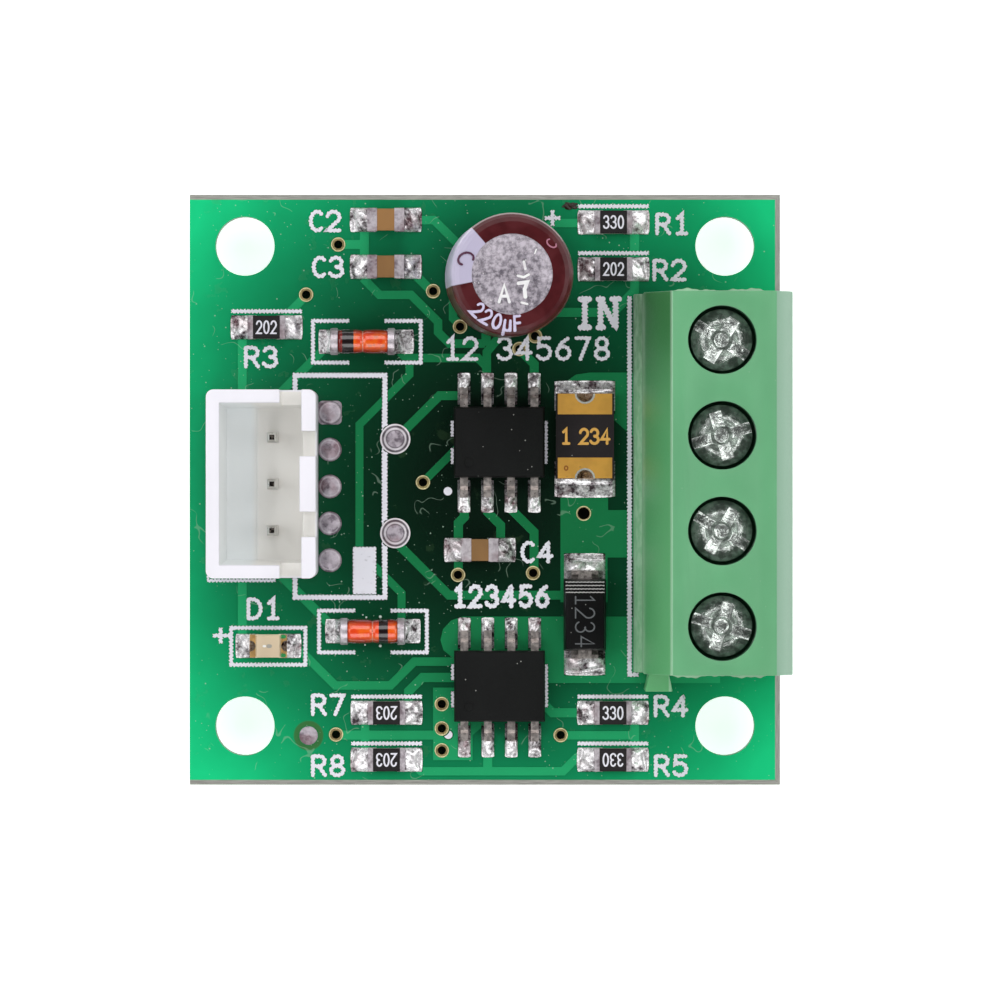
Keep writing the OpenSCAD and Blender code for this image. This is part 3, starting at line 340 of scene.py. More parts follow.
@dataclass(frozen=True)
class MaskFinish(Finish):
    """Green mask over laminate, with bare laminate on the snapped edges and in the holes."""

    # painted shade: the darker green of the board's middle, in place of the dark reflection in the gloss
    painted_shade: Colour = srgb(3, 24, 13)
    edge: Colour = srgb(158, 158, 150)
    lint: Colour = srgb(176, 208, 184)
    haze: Colour = srgb(64, 104, 52)
    half: float = 16.0
    low_y: float = -16.2
    high_y: float = 15.8
    bevel: float = 0.28
    hole_at: float = 13.0
    hole_r: float = 1.6
    test_at: tuple[float, float] = (-9.56, -13.52)

    def green(self, graph: Graph, spot: Value) -> Value:
        """Green that lightens from the board's middle to its rim: painted shade in the middle and a painted
        sheen towards the rim.

        Args:
            graph: The material's graph.
            spot: The point's place.

        Returns:
            The colour.
        """
        x, y, _ = graph.split(spot)
        cloud = graph.noise(spot, 0.22, 3)
        radius = (x * x * 1.32 + y * y) ** 0.5
        share = (radius / 23) ** 3 * (0.75 + cloud * 0.5)
        # painted shade in the middle, painted sheen towards the rim
        return graph.blend(share.least(1.0), self.painted_shade, self.colour)

    def litter(self, graph: Graph, spot: Value) -> Value:
        """Dust, flux specks and short hairs on the mask, gathered in patches, from 0 to 1.

        Args:
            graph: The material's graph.
            spot: The point's place.

        Returns:
            The share of litter.
        """
        patch = graph.noise(graph.moved(spot, (9, 4, 0)), 0.35, 2).rise(0.45, 0.62)
        specks = graph.cells(graph.moved(spot, (1, 2, 0)), 1.5).rise(0.075, 0.035)
        dust = graph.cells(graph.moved(spot, (6, 3, 0)), 3.2).rise(0.1, 0.05) * patch
        line = abs(graph.noise(graph.moved(spot, (2, 8, 0)), 0.8, 1) - 0.5).rise(0.012, 0.004)
        hair = line * graph.noise(graph.moved(spot, (5, 5, 3)), 0.6, 0).rise(0.64, 0.68)
        return (specks * 0.6).most(dust * 0.65).most(hair * 0.2)

    def bare(self, graph: Graph, spot: Value) -> Value:
        """Is 1 on the snapped edges and in the holes, where no mask lies.

        Args:
            graph: The material's graph.
            spot: The point's place.

        Returns:
            The share of bare laminate.
        """
        x, y, z = graph.split(spot)
        far = self.half - self.bevel
        right = x.rise(far - 0.015, far + 0.015).most(x.rise(-self.half + 0.004, -self.half + 0.001))
        top = y.rise(self.high_y - self.bevel - 0.015, self.high_y - self.bevel + 0.015)
        low = y.rise(self.low_y + self.bevel + 0.015, self.low_y + self.bevel - 0.015)
        hx, hy = abs(x) - self.hole_at, abs(y) - self.hole_at
        hole = (hx * hx + hy * hy) ** 0.5
        walls = hole.rise(self.hole_r + 0.03, self.hole_r + 0.01) * z.band(0.03, 1.57, 0.01)
        return right.most(top).most(low).most(walls)

    def surface(self, graph: Graph) -> dict[str, Union[Value, Colour, float]]:
        """Mask colour with litter on it, and laminate colour by place.

        Args:
            graph: The material's graph.

        Returns:
            Socket name to value or link.
        """
        spot = graph.place()
        weave = graph.noise(graph.moved(spot, size=(1, 0.35, 1)), 5, 2)
        fine = graph.noise(spot, 7, 3)
        litter, bare = self.litter(graph, spot), self.bare(graph, spot)
        halo = graph.apart(spot, self.test_at).band(0.52, 0.8, 0.05)
        stain = graph.noise(graph.moved(spot, (3, 7, 0)), 0.9, 4).rise(0.62, 0.74) * 0.12
        green = graph.blend(stain + halo * 0.8, self.green(graph, spot), self.haze)
        green = graph.blend(litter, green, self.lint)
        fibre = graph.noise(graph.moved(spot, size=(0.3, 0.3, 5)), 4, 4)
        laminate = graph.blend(fibre.rise(0.35, 0.65), tuple(c * 0.62 for c in self.edge), self.edge)
        return {
            "Base Color": graph.blend(bare, green, laminate),
            "Roughness": (0.2 + fine * 0.08 + stain * 0.8 + litter * 0.3).most(bare * 0.65),
            "Normal": graph.bump(weave * 0.5 + fine * 0.5 + litter * 2 + bare * fibre, 0.006),
        }


@dataclass(frozen=True)
class CopperFinish(MaskFinish):
    """Mask over copper, which is lighter than mask over laminate."""

    # painted shade: the darker middle of the mask over copper
    painted_shade: Colour = srgb(22, 114, 66)

    def surface(self, graph: Graph) -> dict[str, Union[Value, Colour, float]]:
        """Mask colour with litter on it.

        Args:
            graph: The material's graph.

        Returns:
            Socket name to value or link.
        """
        spot = graph.place()
        fine, litter = graph.noise(spot, 7, 3), self.litter(graph, spot)
        return {
            "Base Color": graph.blend(litter, self.green(graph, spot), self.lint),
            "Roughness": 0.2 + fine * 0.1 + litter * 0.3,
            "Normal": graph.bump(fine + litter * 2, 0.006),
        }


@dataclass(frozen=True)
class SolderFinish(Finish):
    """Frozen solder: painted highlights on the bump's crests, painted shade in its hollows and a fine pepper of
    both, darker where it is a thin film.
    """

    dark: Colour = srgb(74, 62, 68)
    rose: Colour = srgb(132, 84, 90)
    blotches: float = 1.35
    pepper: float = 6.0
    film_z: float = 1.69

    def surface(self, graph: Graph) -> dict[str, Union[Value, Colour, float]]:
        """Mottled metal whose colour follows its bump: painted highlights on crests and painted shade in
        hollows.

        Args:
            graph: The material's graph.

        Returns:
            Socket name to value or link.
        """
        spot = graph.place()
        _, _, z = graph.split(spot)
        blotch = graph.noise(spot, self.blotches, 3, 0.6)
        fine = graph.noise(graph.moved(spot, (5, 1, 2)), self.pepper, 3, 0.6)
        ridge = graph.cells(spot, 3.1)
        film = z.band(self.film_z - 0.2, self.film_z, 0.02)
        # painted highlights and shade: the colour rises with the blotches that raise the bump, lighter on
        # crests, darker in hollows
        share = blotch.rise(0.36, 0.54) * 0.75 + fine.rise(0.4, 0.6) * 0.35 - film * 0.15
        tone = graph.blend(share.most(0.0).least(1.0), self.dark, self.colour)
        warm = graph.noise(graph.moved(spot, (2, 9, 4)), 0.8, 2).rise(0.5, 0.66) * 0.35
        return {
            "Base Color": graph.blend(warm, tone, self.rose),
            "Roughness": self.rough * (0.6 + fine * 0.8),
            "Normal": graph.bump(blotch * 0.8 + ridge * 0.35 + fine * 0.12, self.relief),
        }


@dataclass(frozen=True)
class PlugFinish(SolderFinish):
    """Solder domes of the filled holes, with faint rings of painted reflection about each hole's middle."""

    row: tuple[float, float] = (-8.4, -0.02)
    pitch: float = 2.0
    small_r: float = 0.64
    peg: tuple[float, float] = (-4.86, 2.55)
    peg_r: float = 0.82
    painted_ring_highlight: Colour = srgb(232, 228, 232)
    painted_ring_shade: Colour = srgb(58, 54, 58)

    def surface(self, graph: Graph) -> dict[str, Union[Value, Colour, float]]:
        """Mottled metal with light and dark rings of painted reflection.

        Args:
            graph: The material's graph.

        Returns:
            Socket name to value or link.
        """
        parts = super().surface(graph)
        x, y, _ = graph.split(graph.place())
        dx, dy = x - self.row[0], (y - self.row[1]).math("WRAP", self.pitch / 2, -self.pitch / 2)
        small = (dx * dx + dy * dy) ** 0.5 / self.small_r
        dx, dy = x - self.peg[0], abs(y) - self.peg[1]
        large = (dx * dx + dy * dy) ** 0.5 / self.peg_r
        # painted reflection: light and dark rings about each hole's middle
        light = (small.band(0.76, 0.84, 0.03) * 0.3 + large.band(0.9, 1.0, 0.015) * 0.9
                 + large.band(0.63, 0.74, 0.02) * 0.5)
        dark = (small.band(0.91, 1.02, 0.02) * 0.5 + large.band(0.76, 0.87, 0.02) * 0.75
                + large.band(0.54, 0.6, 0.015) * 0.6)
        tone = graph.blend(light, parts["Base Color"], self.painted_ring_highlight)
        parts["Base Color"] = graph.blend(dark, tone, self.painted_ring_shade)
        return parts


@dataclass(frozen=True)
class PlatedFinish(Finish):
    """Plated metal with fine drawn lines, mottled tarnish and small dark specks."""

    lines: tuple[float, float, float] = (1, 1, 0.2)
    mottle: float = 1.1
    low: float = 0.72
    speckle: Colour = srgb(70, 66, 62)

    def surface(self, graph: Graph) -> dict[str, Union[Value, Colour, float]]:
        """Lines along the part, tarnish and specks.

        Args:
            graph: The material's graph.

        Returns:
            Socket name to value or link.
        """
        spot = graph.place()
        drawn = graph.noise(graph.moved(spot, size=self.lines), 6, 4)
        speck = graph.cells(graph.moved(spot, (2, 3, 1)), 2.2).rise(0.1, 0.05)
        cloud = graph.noise(spot, self.mottle, 3)
        tone = graph.blend(cloud.rise(0.38, 0.64), tuple(c * self.low for c in self.colour), self.colour)
        return {
            "Base Color": graph.blend(speck * 0.5, tone, self.speckle),
            "Roughness": self.rough * (0.7 + drawn * 0.6),
            "Normal": graph.bump(drawn + cloud, self.relief),
        }


@dataclass(frozen=True)
class PinFinish(PlatedFinish):
    """Tinned pin whose flat tip is painted dark: painted shade in place of the dark reflection on its top."""

    tip_z: float = 8.0
    painted_tip_shade: tuple[Colour, Colour] = (srgb(40, 36, 34), srgb(120, 112, 104))

    def surface(self, graph: Graph) -> dict[str, Union[Value, Colour, float]]:
        """Tin with a painted dark flat on top, a painted shade.

        Args:
            graph: The material's graph.

        Returns:
            Socket name to value or link.
        """
        parts = super().surface(graph)
        spot = graph.place()
        # painted shade: the flat top is darkened, mottled between two dark tones
        flat = graph.split(spot)[2].rise(self.tip_z - 0.03, self.tip_z - 0.01)
        worn = graph.blend(graph.noise(spot, 7, 2).rise(0.5, 0.62), *self.painted_tip_shade)
        parts["Base Color"] = graph.blend(flat, parts["Base Color"], worn)
        return parts


@dataclass(frozen=True)
class CanFinish(PlatedFinish):
    """Etched aluminium: a fine mosaic of light and dark grains."""

    etched: Colour = srgb(96, 90, 100)
    painted_glint: Colour = srgb(250, 246, 250)

    def surface(self, graph: Graph) -> dict[str, Union[Value, Colour, float]]:
        """Grains and bright specks; the specks are painted glints.

        Args:
            graph: The material's graph.

        Returns:
            Socket name to value or link.
        """
        spot = graph.place()
        grain = graph.noise(spot, 3.4, 4, 0.7)
        cloud = graph.noise(graph.moved(spot, (4, 4, 0)), 0.6, 2)
        # painted glints: small near-white specks
        spark = graph.cells(graph.moved(spot, (1, 6, 0)), 2.4).rise(0.14, 0.06)
        tone = graph.blend((grain.rise(0.34, 0.66) * 0.75 + cloud.rise(0.4, 0.65) * 0.35).least(1.0),
                           self.etched, self.colour)
        return {
            "Base Color": graph.blend(spark * 0.8, tone, self.painted_glint),
            "Roughness": self.rough,
            "Normal": graph.bump(grain + spark, self.relief),
        }


@dataclass(frozen=True)
class MouldFinish(Finish):
    """Moulded plastic: spark-eroded grain, a little flow shade and dust."""

    dust: float = 0.15
    speckle: Colour = srgb(205, 205, 200)

    def surface(self, graph: Graph) -> dict[str, Union[Value, Colour, float]]:
        """Grain, flow shade and dust specks.

        Args:
            graph: The material's graph.

        Returns:
            Socket name to value or link.
        """
        spot = graph.place()
        flow = graph.noise(graph.moved(spot, size=(1, 0.5, 1)), 0.35, 3)
        fine = graph.noise(spot, self.grain, 4, 0.65)
        speck = graph.cells(graph.moved(spot, (4, 2, 5)), 1.7).rise(0.07, 0.035)
        tone = graph.blend(flow.rise(0.35, 0.65), *self.tones())
        return {
            "Base Color": graph.blend(speck * self.dust, tone, self.speckle),
            "Roughness": self.rough * (0.8 + fine * 0.4),
            "Normal": graph.bump(fine, self.relief),
        }


@dataclass(frozen=True)
class BlockFinish(MouldFinish):
    """Moulded green of the terminal: a painted sheen on the bevel over the wire entries, painted shade on the
    rear slope that darkens towards its far end, painted shade in the screw wells, a painted highlight along the
    ridge, and a rough pale foot.
    """

    ridge_x: float = 9.92
    front_x: float = 15.5
    front_z: float = 9.95
    foot_x: float = 8.5
    top_z: float = 11.65
    middle: tuple[float, float] = (12.61, 0.15)
    pole: float = 5.08
    well_r: float = 1.82
    # pale is the painted sheen of the bevel over the wire entries
    pale: Colour = srgb(124, 168, 140)
    back: Colour = srgb(90, 172, 110)
    shade: Colour = srgb(60, 130, 74)
    well_floor_shade: Colour = srgb(15, 52, 32)
    well_upper_shade: Colour = srgb(34, 84, 56)
    foot: Colour = srgb(188, 222, 194)

    def surface(self, graph: Graph) -> dict[str, Union[Value, Colour, float]]:
        """Green by place over the moulding's grain, with painted sheen, painted highlight and painted shade.

        Args:
            graph: The material's graph.

        Returns:
            Socket name to value or link.
        """
        parts = super().surface(graph)
        spot = graph.place()
        x, y, z = graph.split(spot)
        # painted shade: the rear slope is darker, and darker still towards its far end along +Y
        back = graph.blend(y.rise(2.5, 9.5), self.back, self.shade)
        tone = graph.blend(x.rise(self.ridge_x + 0.02, self.ridge_x - 0.02), parts["Base Color"], back)
        # painted sheen: the pale bevel over the wire entries
        bevel_sheen = x.rise(self.front_x - 0.03, self.front_x + 0.03) * z.rise(self.front_z - 0.2, self.front_z)
        tone = graph.blend(bevel_sheen, tone, self.pale)
        torn = graph.noise(graph.moved(spot, size=(1, 0.4, 1)), 4, 4)
        foot = x.rise(self.foot_x + 0.16, self.foot_x - 0.04) * (0.3 + torn.rise(0.35, 0.7) * 0.3)
        # painted highlight: a pale line along the ridge, blended with the rough pale foot
        line = x.band(self.ridge_x - 0.07, self.ridge_x + 0.06, 0.03) * 0.45
        tone = graph.blend(foot.most(line), tone, self.foot)
        # painted shade: the screw wells, darker towards their floors
        half = self.pole / 2
        dx, dy = x - self.middle[0], (y - self.middle[1] - half).math("WRAP", half, -half)
        inside = ((dx * dx + dy * dy) ** 0.5).rise(self.well_r + 0.03, self.well_r - 0.01)
        painted_shade = graph.blend(z.rise(self.top_z - 1.5, self.top_z - 0.2), self.well_upper_shade, self.well_floor_shade)
        parts["Base Color"] = graph.blend(inside * z.rise(self.top_z - 0.05, self.top_z - 0.16), tone, painted_shade)
        return parts


@dataclass(frozen=True)
class NylonFinish(MouldFinish):
    """White nylon of the header, faintly tinted inside and on its low ledges."""

    low: tuple[float, float] = (-15.0, -5.0)
    high: tuple[float, float] = (-9.0, 5.0)
    rim_z: float = 8.65
    warm: Colour = srgb(244, 242, 238)
    cool: Colour = srgb(242, 246, 247)

    def surface(self, graph: Graph) -> dict[str, Union[Value, Colour, float]]:
        """White outside and on the rim, a faintly tinted white inside.

        Args:
            graph: The material's graph.

        Returns:
            Socket name to value or link.
        """
        parts = super().surface(graph)
        x, y, z = graph.split(graph.place())
        inner = (x.band(self.low[0] + 0.15, self.high[0] - 0.08, 0.05)
                 * y.band(self.low[1] + 0.08, self.high[1] - 0.08, 0.05))
        tone = graph.blend(x.rise(self.low[0] + 2.2, self.low[0] + 2.8), self.cool, self.warm)
        below = z.rise(self.rim_z - 0.2, self.rim_z - 0.45)
        parts["Base Color"] = graph.blend(inner * below, parts["Base Color"], tone)
        return parts


@dataclass(frozen=True)
class ResistorFinish(MouldFinish):
    """Ivory alumina with black glaze on its face."""

    ivory: Colour = srgb(225, 220, 210)
    glaze_z: float = 2.15

    def surface(self, graph: Graph) -> dict[str, Union[Value, Colour, float]]:
        """Glaze above, alumina below.

        Args:
            graph: The material's graph.

        Returns:
            Socket name to value or link.
        """
        parts = super().surface(graph)
        glazed = graph.split(graph.place())[2].rise(self.glaze_z - 0.02, self.glaze_z)
        parts["Base Color"] = graph.blend(glazed, self.ivory, parts["Base Color"])
        return parts


@dataclass(frozen=True)
class SleeveFinish(Finish):
    """Printed shrink sleeve with its pale polarity stripe, on a can that leans."""

    foot: tuple[float, float, float] = (1.08, 11.3, 1.6)
    lean: float = 1.9
    lean_to: float = -13.0
    stripe: Colour = srgb(190, 184, 208)
    stripe_span: tuple[float, float] = (131.0, 191.0)
    faded: Colour = srgb(84, 32, 36)

    def surface(self, graph: Graph) -> dict[str, Union[Value, Colour, float]]:
        """Sleeve colour, and the stripe by the angle about the can's leaning axis.

        Args:
            graph: The material's graph.

        Returns:
            Socket name to value or link.
        """
        parts = super().surface(graph)
        spot = graph.place()
        x, y, z = graph.split(spot)
        slope, way = math.tan(math.radians(self.lean)), math.radians(self.lean_to)
        up = z - self.foot[2]
        dx = x - self.foot[0] - up * (slope * math.cos(way))
        dy = y - self.foot[1] - up * (slope * math.sin(way))
        angle = (dy * -1).math("ARCTAN2", dx * -1)
        low, high = (math.radians(a - 180) for a in self.stripe_span)
        cloud = graph.noise(spot, 0.7, 2).rise(0.42, 0.6)
        tone = graph.blend(cloud, parts["Base Color"], self.faded)
        parts["Base Color"] = graph.blend(angle.band(low, high, 0.01), tone, self.stripe)
        return parts


@dataclass(frozen=True)
class GlassFinish(Finish):
    """Orange glass of a diode with painted bands and a seam; painted shade turns it dark red towards its sides,
    and cloudy painted glints lighten it.
    """

    at: tuple[float, float, float] = (0.0, 0.0, 0.0)
    radius: float = 0.66
    painted_shade: Colour = srgb(108, 14, 8)
    bright: Colour = srgb(250, 120, 30)
    inner: Colour = srgb(96, 80, 92)
    seam: Colour = srgb(206, 150, 130)
    bands: tuple[tuple[float, float, Colour], ...] = ()

    def surface(self, graph: Graph) -> dict[str, Union[Value, Colour, float]]:
        """Glass colour by distance from the axis, which is painted shade, with painted glints, then the bands.

        Args:
            graph: The material's graph.

        Returns:
            Socket name to value or link.
        """
        spot = graph.place()
        x, y, _ = graph.split(spot)
        along = x - self.at[0]
        side = abs(y - self.at[1]) / self.radius
        cloud = graph.noise(spot, 1.9, 3)
        # painted glints: cloudy patches of brighter orange
        tone = graph.blend(cloud.rise(0.4, 0.65) * 0.6, self.colour, self.bright)
        # painted shade: darker red towards the sides, away from the axis
        tone = graph.blend(side.rise(0.4, 1.0), tone, self.painted_shade)
        slug = cloud.rise(0.6, 0.68) * side.band(0.2, 0.7, 0.1)
        tone = graph.blend(slug * 0.35, tone, self.inner)
        tone = graph.blend(along.band(-0.035, 0.035, 0.02) * 0.6, tone, self.seam)
        for low, high, paint in self.bands:
            tone = graph.blend(along.band(low, high, 0.02), tone, paint)
        return {
            "Base Color": tone,
            "Roughness": self.rough * (0.7 + cloud * 0.6),
            "Normal": graph.bump(cloud, self.relief),
        }


@dataclass(frozen=True)
class InkFinish(Finish):
    """Printed ink with worn, uneven cover."""

    def surface(self, graph: Graph) -> dict[str, Union[Value, Colour, float]]:
        """Ink that thins in small spots.

        Args:
            graph: The material's graph.

        Returns:
            Socket name to value or link.
        """
        spot = graph.place()
        thin = graph.noise(spot, 3.5, 4, 0.7)
        worn = tuple(c * 0.72 for c in self.colour)
        return {
            "Base Color": graph.blend(thin.rise(0.58, 0.72), self.colour, worn),
            "Roughness": self.rough,
            "Normal": graph.bump(thin, self.relief),
        }


# Meshes


def grid_quads(rows: int, cols: int, wrap: bool) -> np.ndarray:
    """Faces of a grid of points, row by row; wrap joins the last column to the first.

    Args:
        rows: Number of rows.
        cols: Number of columns.
        wrap: Whether the columns close.

    Returns:
        An array of four corner numbers a face.
    """
    r = np.arange(rows - 1)[:, None]
    c = np.arange(cols if wrap else cols - 1)[None, :]
    d = (c + 1) % cols
    corners = [r * cols + c, r * cols + d, (r + 1) * cols + d, (r + 1) * cols + c]
    return np.stack(np.broadcast_arrays(*corners), -1).reshape(-1, 4)


class Skin:
    """Gathers closed surfaces, in millimetres, and makes one piece of them."""

    def __init__(self) -> None:
        """Starts empty."""
        self.points: list[np.ndarray] = []
        self.faces: list[list[int]] = []
        self.count = 0

    def _add(self, points: np.ndarray, faces: Iterable[Sequence[int]]) -> None:
        """Adds points and the faces between them.

        Args:
            points: Array whose last axis is X, Y and Z.
            faces: Corner numbers of each face.
        """
        self.faces += [[int(i) + self.count for i in face] for face in faces]
        self.points.append(points.reshape(-1, 3))
        self.count += len(self.points[-1])

    def tube(self, rings: np.ndarray) -> None:
        """Adds rings of points joined into a tube and closed by a face at each end.

        Args:
            rings: Array of rings, points and coordinates.
        """
        rows, cols = rings.shape[:2]
        faces = grid_quads(rows, cols, True).tolist()
        faces.append(list(range(cols))[::-1])
        faces.append([(rows - 1) * cols + i for i in range(cols)])
        self._add(rings, faces)

    def loop(self, rings: np.ndarray) -> None:
        """Adds rings of points joined end to end, as round a ring-shaped body.

        Args:
            rings: Array of rings, points and coordinates.
        """
        rows, cols = rings.shape[:2]
        faces = grid_quads(rows, cols, True).tolist()
        last = (rows - 1) * cols
        faces += [[last + i, last + (i + 1) % cols, (i + 1) % cols, i] for i in range(cols)]
        self._add(rings, faces)

    def mound(self, top: np.ndarray, floor: float) -> None:
        """Adds a height field closed by walls and a flat bottom at the floor.

        Args:
            top: Array of rows, columns and coordinates.
            floor: Height of the bottom.
        """
        rows, cols = top.shape[:2]
        faces = grid_quads(rows, cols, False).tolist()
        rim = [*range(cols), *(r * cols + cols - 1 for r in range(1, rows)),
               *((rows - 1) * cols + c for c in range(cols - 2, -1, -1)),
               *(r * cols for r in range(rows - 2, 0, -1))]
        base = top.reshape(-1, 3)[rim].copy()
        base[:, 2] = floor
        n, m = rows * cols, len(rim)
        faces += [[rim[(i + 1) % m], rim[i], n + i, n + (i + 1) % m] for i in range(m)]
        faces.append([n + i for i in range(m)][::-1])
        self._add(np.concatenate([top.reshape(-1, 3), base]), faces)

    def spin(self, profile: np.ndarray, steps: int, place: Callable[[np.ndarray], np.ndarray]) -> None:
        """Adds a profile of radius and height turned round its axis, from one pole to the other.

        Args:
            profile: Array of radius and height; its ends are closed by a face.
            steps: Number of steps round the axis.
            place: Moves the points from the profile's own frame.
        """
        turn = np.linspace(0, 2 * np.pi, steps, endpoint=False)
        rings = np.stack([
            profile[:, :1] * np.cos(turn), profile[:, :1] * np.sin(turn), np.repeat(profile[:, 1:], steps, 1)
        ], -1)
        self.tube(place(rings))

    def piece(self, name: str, finish: Finish, smooth: bool = True) -> bpy.types.Object:
        """Makes the mesh and puts it on the module's body.

        Args:
            name: The piece's name.
            finish: Its finish.
            smooth: Whether its faces are shaded smooth.

        Returns:
            The new object.
        """
        mesh = bpy.data.meshes.new(name)
        mesh.from_pydata((np.concatenate(self.points) * MM).tolist(), [], self.faces)
        tidy = bmesh.new()
        tidy.from_mesh(mesh)
        bmesh.ops.recalc_face_normals(tidy, faces=tidy.faces)
        tidy.to_mesh(mesh)
        tidy.free()
        if smooth:
            mesh.shade_smooth()
        else:
            mesh.shade_flat()
        return settle(bpy.data.objects.new(name, mesh), finish)


def settle(made: bpy.types.Object, finish: Finish, body: str = BODY) -> bpy.types.Object:
    """Links a new piece, gives it its finish, and puts it on its body.

    Args:
        made: The new object.
        finish: Its finish.
        body: The CAD body that it rides on.

    Returns:
        The same object.
    """
    bpy.context.scene.collection.objects.link(made)
    made.data.materials.clear()
    made.data.materials.append(finish.material())
    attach(made, body)
    LOG.info("piece %s: %d faces on %s", made.name, len(made.data.polygons), body)
    return made


def corners_of(node: str) -> tuple[np.ndarray, np.ndarray]:
    """Lowest and highest corner of a CAD node, in millimetres."""
    low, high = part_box(node)
    return np.array(low) / MM, np.array(high) / MM


def centre_of(node: str) -> np.ndarray:
    """Middle of a CAD node's box, in millimetres."""
    low, high = corners_of(node)
    return (low + high) / 2


def eased(mesh: bpy.types.Mesh, width: float) -> None:
    """Rounds a mesh's sharp edges in place by a small radius.

    Args:
        mesh: The mesh, which is changed in place.
        width: Radius of the edges in millimetres.
    """
    work = bmesh.new()
    work.from_mesh(mesh)
    bmesh.ops.remove_doubles(work, verts=work.verts, dist=WELD)
    bmesh.ops.dissolve_limit(work, angle_limit=CREASE, verts=work.verts, edges=work.edges)
    bmesh.ops.recalc_face_normals(work, faces=work.faces)
    sharp = [e for e in work.edges if len(e.link_faces) == 2 and e.calc_face_angle(0) > math.radians(28)]
    bmesh.ops.bevel(work, geom=sharp, offset=width * MM, segments=2, profile=0.5, affect="EDGES",
                    clamp_overlap=True)
    work.to_mesh(mesh)
    work.free()


class Frame:
    """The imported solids: dresses them, or puts an eased copy in their place."""

    def __init__(self, nodes: dict[str, bpy.types.Object]) -> None:
        """Keeps the nodes by name."""
        self.nodes = nodes

    def dress(self, finish: Finish, *names: str) -> None:
        """Gives CAD nodes a finish.

        Args:
            finish: The finish.
            *names: The nodes.
        """
        for name in names:
            self.nodes[name].data.materials.clear()
            self.nodes[name].data.materials.append(finish.material())
            LOG.info("node %s: %s", name, finish.name)

    def ease(self, name: str, finish: Finish, width: float, body: str = BODY) -> bpy.types.Object:
        """Replaces a node by a copy with slightly rounded edges.

        Args:
            name: The node.
            finish: The copy's finish.
            width: Radius of the edges in millimetres.
            body: The body that it rides on.

        Returns:
            The copy.
        """
        mesh = self.nodes[name].data.copy()
        eased(mesh, width)
        mesh.shade_smooth()
        mesh.set_sharp_from_angle(angle=math.radians(32))
        made = settle(bpy.data.objects.new(name + "_eased", mesh), finish, body)
        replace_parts(made, name)
        return made


def islands(mesh: bpy.types.Mesh) -> list[np.ndarray]:
    """Points of each separate part of a mesh, in millimetres.

    Args:
        mesh: The mesh.

    Returns:
        One array of points a part, in the order of the mesh.
    """
    work = bmesh.new()
    work.from_mesh(mesh)
    bmesh.ops.remove_doubles(work, verts=work.verts, dist=WELD)
    groups = []
    for vert in work.verts:
        vert.tag = False
    for first in work.verts:
        if first.tag:
            continue
        first.tag = True
        queue, group = [first], []
        while queue:
            vert = queue.pop()
            group.append(vert.co[:])
            for edge in vert.link_edges:
                other = edge.other_vert(vert)
                if not other.tag:
                    other.tag = True
                    queue.append(other)
        groups.append(np.array(group) / MM)
    work.free()
    return groups


# Lettering


def arc(cx: float, cy: float, rx: float, ry: float, start: float, end: float,
        steps: int = 9) -> list[tuple[float, float]]:
    """Points of an elliptic arc, angles in degrees.

    Args:
        cx: Middle along X.
        cy: Middle along Y.
        rx: Half-width.
        ry: Half-height.
        start: First angle.
        end: Last angle.
        steps: Number of points.

    Returns:
        The points.
    """
    turn = np.radians(np.linspace(start, end, steps))
    return list(zip((cx + rx * np.cos(turn)).tolist(), (cy + ry * np.sin(turn)).tolist()))


GLYPHS: dict[str, list[list[tuple[float, float]]]] = {
    "0": [arc(0.3, 0.5, 0.3, 0.5, 90, 450, 25)],
    "1": [[(0.1, 0.8), (0.32, 1), (0.32, 0)], [(0.1, 0), (0.54, 0)]],
    "2": [arc(0.3, 0.7, 0.3, 0.3, 170, -30, 13) + [(0, 0), (0.6, 0)]],
    "3": [arc(0.28, 0.74, 0.28, 0.26, 160, -80, 12), arc(0.28, 0.26, 0.32, 0.26, 88, -160, 13)],
    "4": [[(0.45, 0), (0.45, 1), (0, 0.3), (0.62, 0.3)]],
    "5": [[(0.56, 1), (0.08, 1), (0.05, 0.56)] + arc(0.28, 0.32, 0.32, 0.32, 115, -150, 14)],
    "6": [[(0.52, 0.98), (0.2, 0.75)] + arc(0.3, 0.3, 0.3, 0.3, 150, 500, 20)],
    "7": [[(0, 1), (0.6, 1), (0.2, 0)]],
    "8": [arc(0.3, 0.75, 0.25, 0.25, 0, 360, 17), arc(0.3, 0.25, 0.3, 0.25, 0, 360, 17)],
    "9": [[(0.08, 0.02), (0.4, 0.25)] + arc(0.3, 0.7, 0.3, 0.3, -30, 320, 20)],
    "A": [[(0, 0), (0.32, 1), (0.64, 0)], [(0.12, 0.34), (0.52, 0.34)]],
    "C": [arc(0.32, 0.5, 0.32, 0.5, 50, 310, 19)],
    "D": [[(0, 0), (0, 1), (0.22, 1)] + arc(0.22, 0.5, 0.38, 0.5, 90, -90, 13) + [(0, 0)]],
    "F": [[(0, 0), (0, 1), (0.55, 1)], [(0, 0.52), (0.45, 0.52)]],
    "I": [[(0.2, 0), (0.2, 1)], [(0, 0), (0.4, 0)], [(0, 1), (0.4, 1)]],
    "N": [[(0.1, 0), (0.1, 1), (0.78, 0), (0.78, 1)], [(0, 1), (0.2, 1)], [(0, 0), (0.22, 0)],
          [(0.62, 1), (0.94, 1)]],
    "R": [[(0, 0), (0, 1), (0.3, 1)] + arc(0.32, 0.74, 0.26, 0.26, 90, -90, 11) + [(0, 0.48)],
          [(0.3, 0.48), (0.6, 0)]],
    "u": [[(0, -0.3), (0, 0.7)], [(0, 0.2)] + arc(0.24, 0.2, 0.24, 0.2, 180, 340, 9) + [(0.48, 0.7)],
          [(0.48, 0.7), (0.48, 0)]],
    "+": [[(0, 0.5), (0.6, 0.5)], [(0.3, 0.2), (0.3, 0.8)]],
    " ": [],
}


def left_of(step: np.ndarray) -> np.ndarray:
    """A flat direction turned left by a right angle."""
    return np.array([-step[1], step[0]])


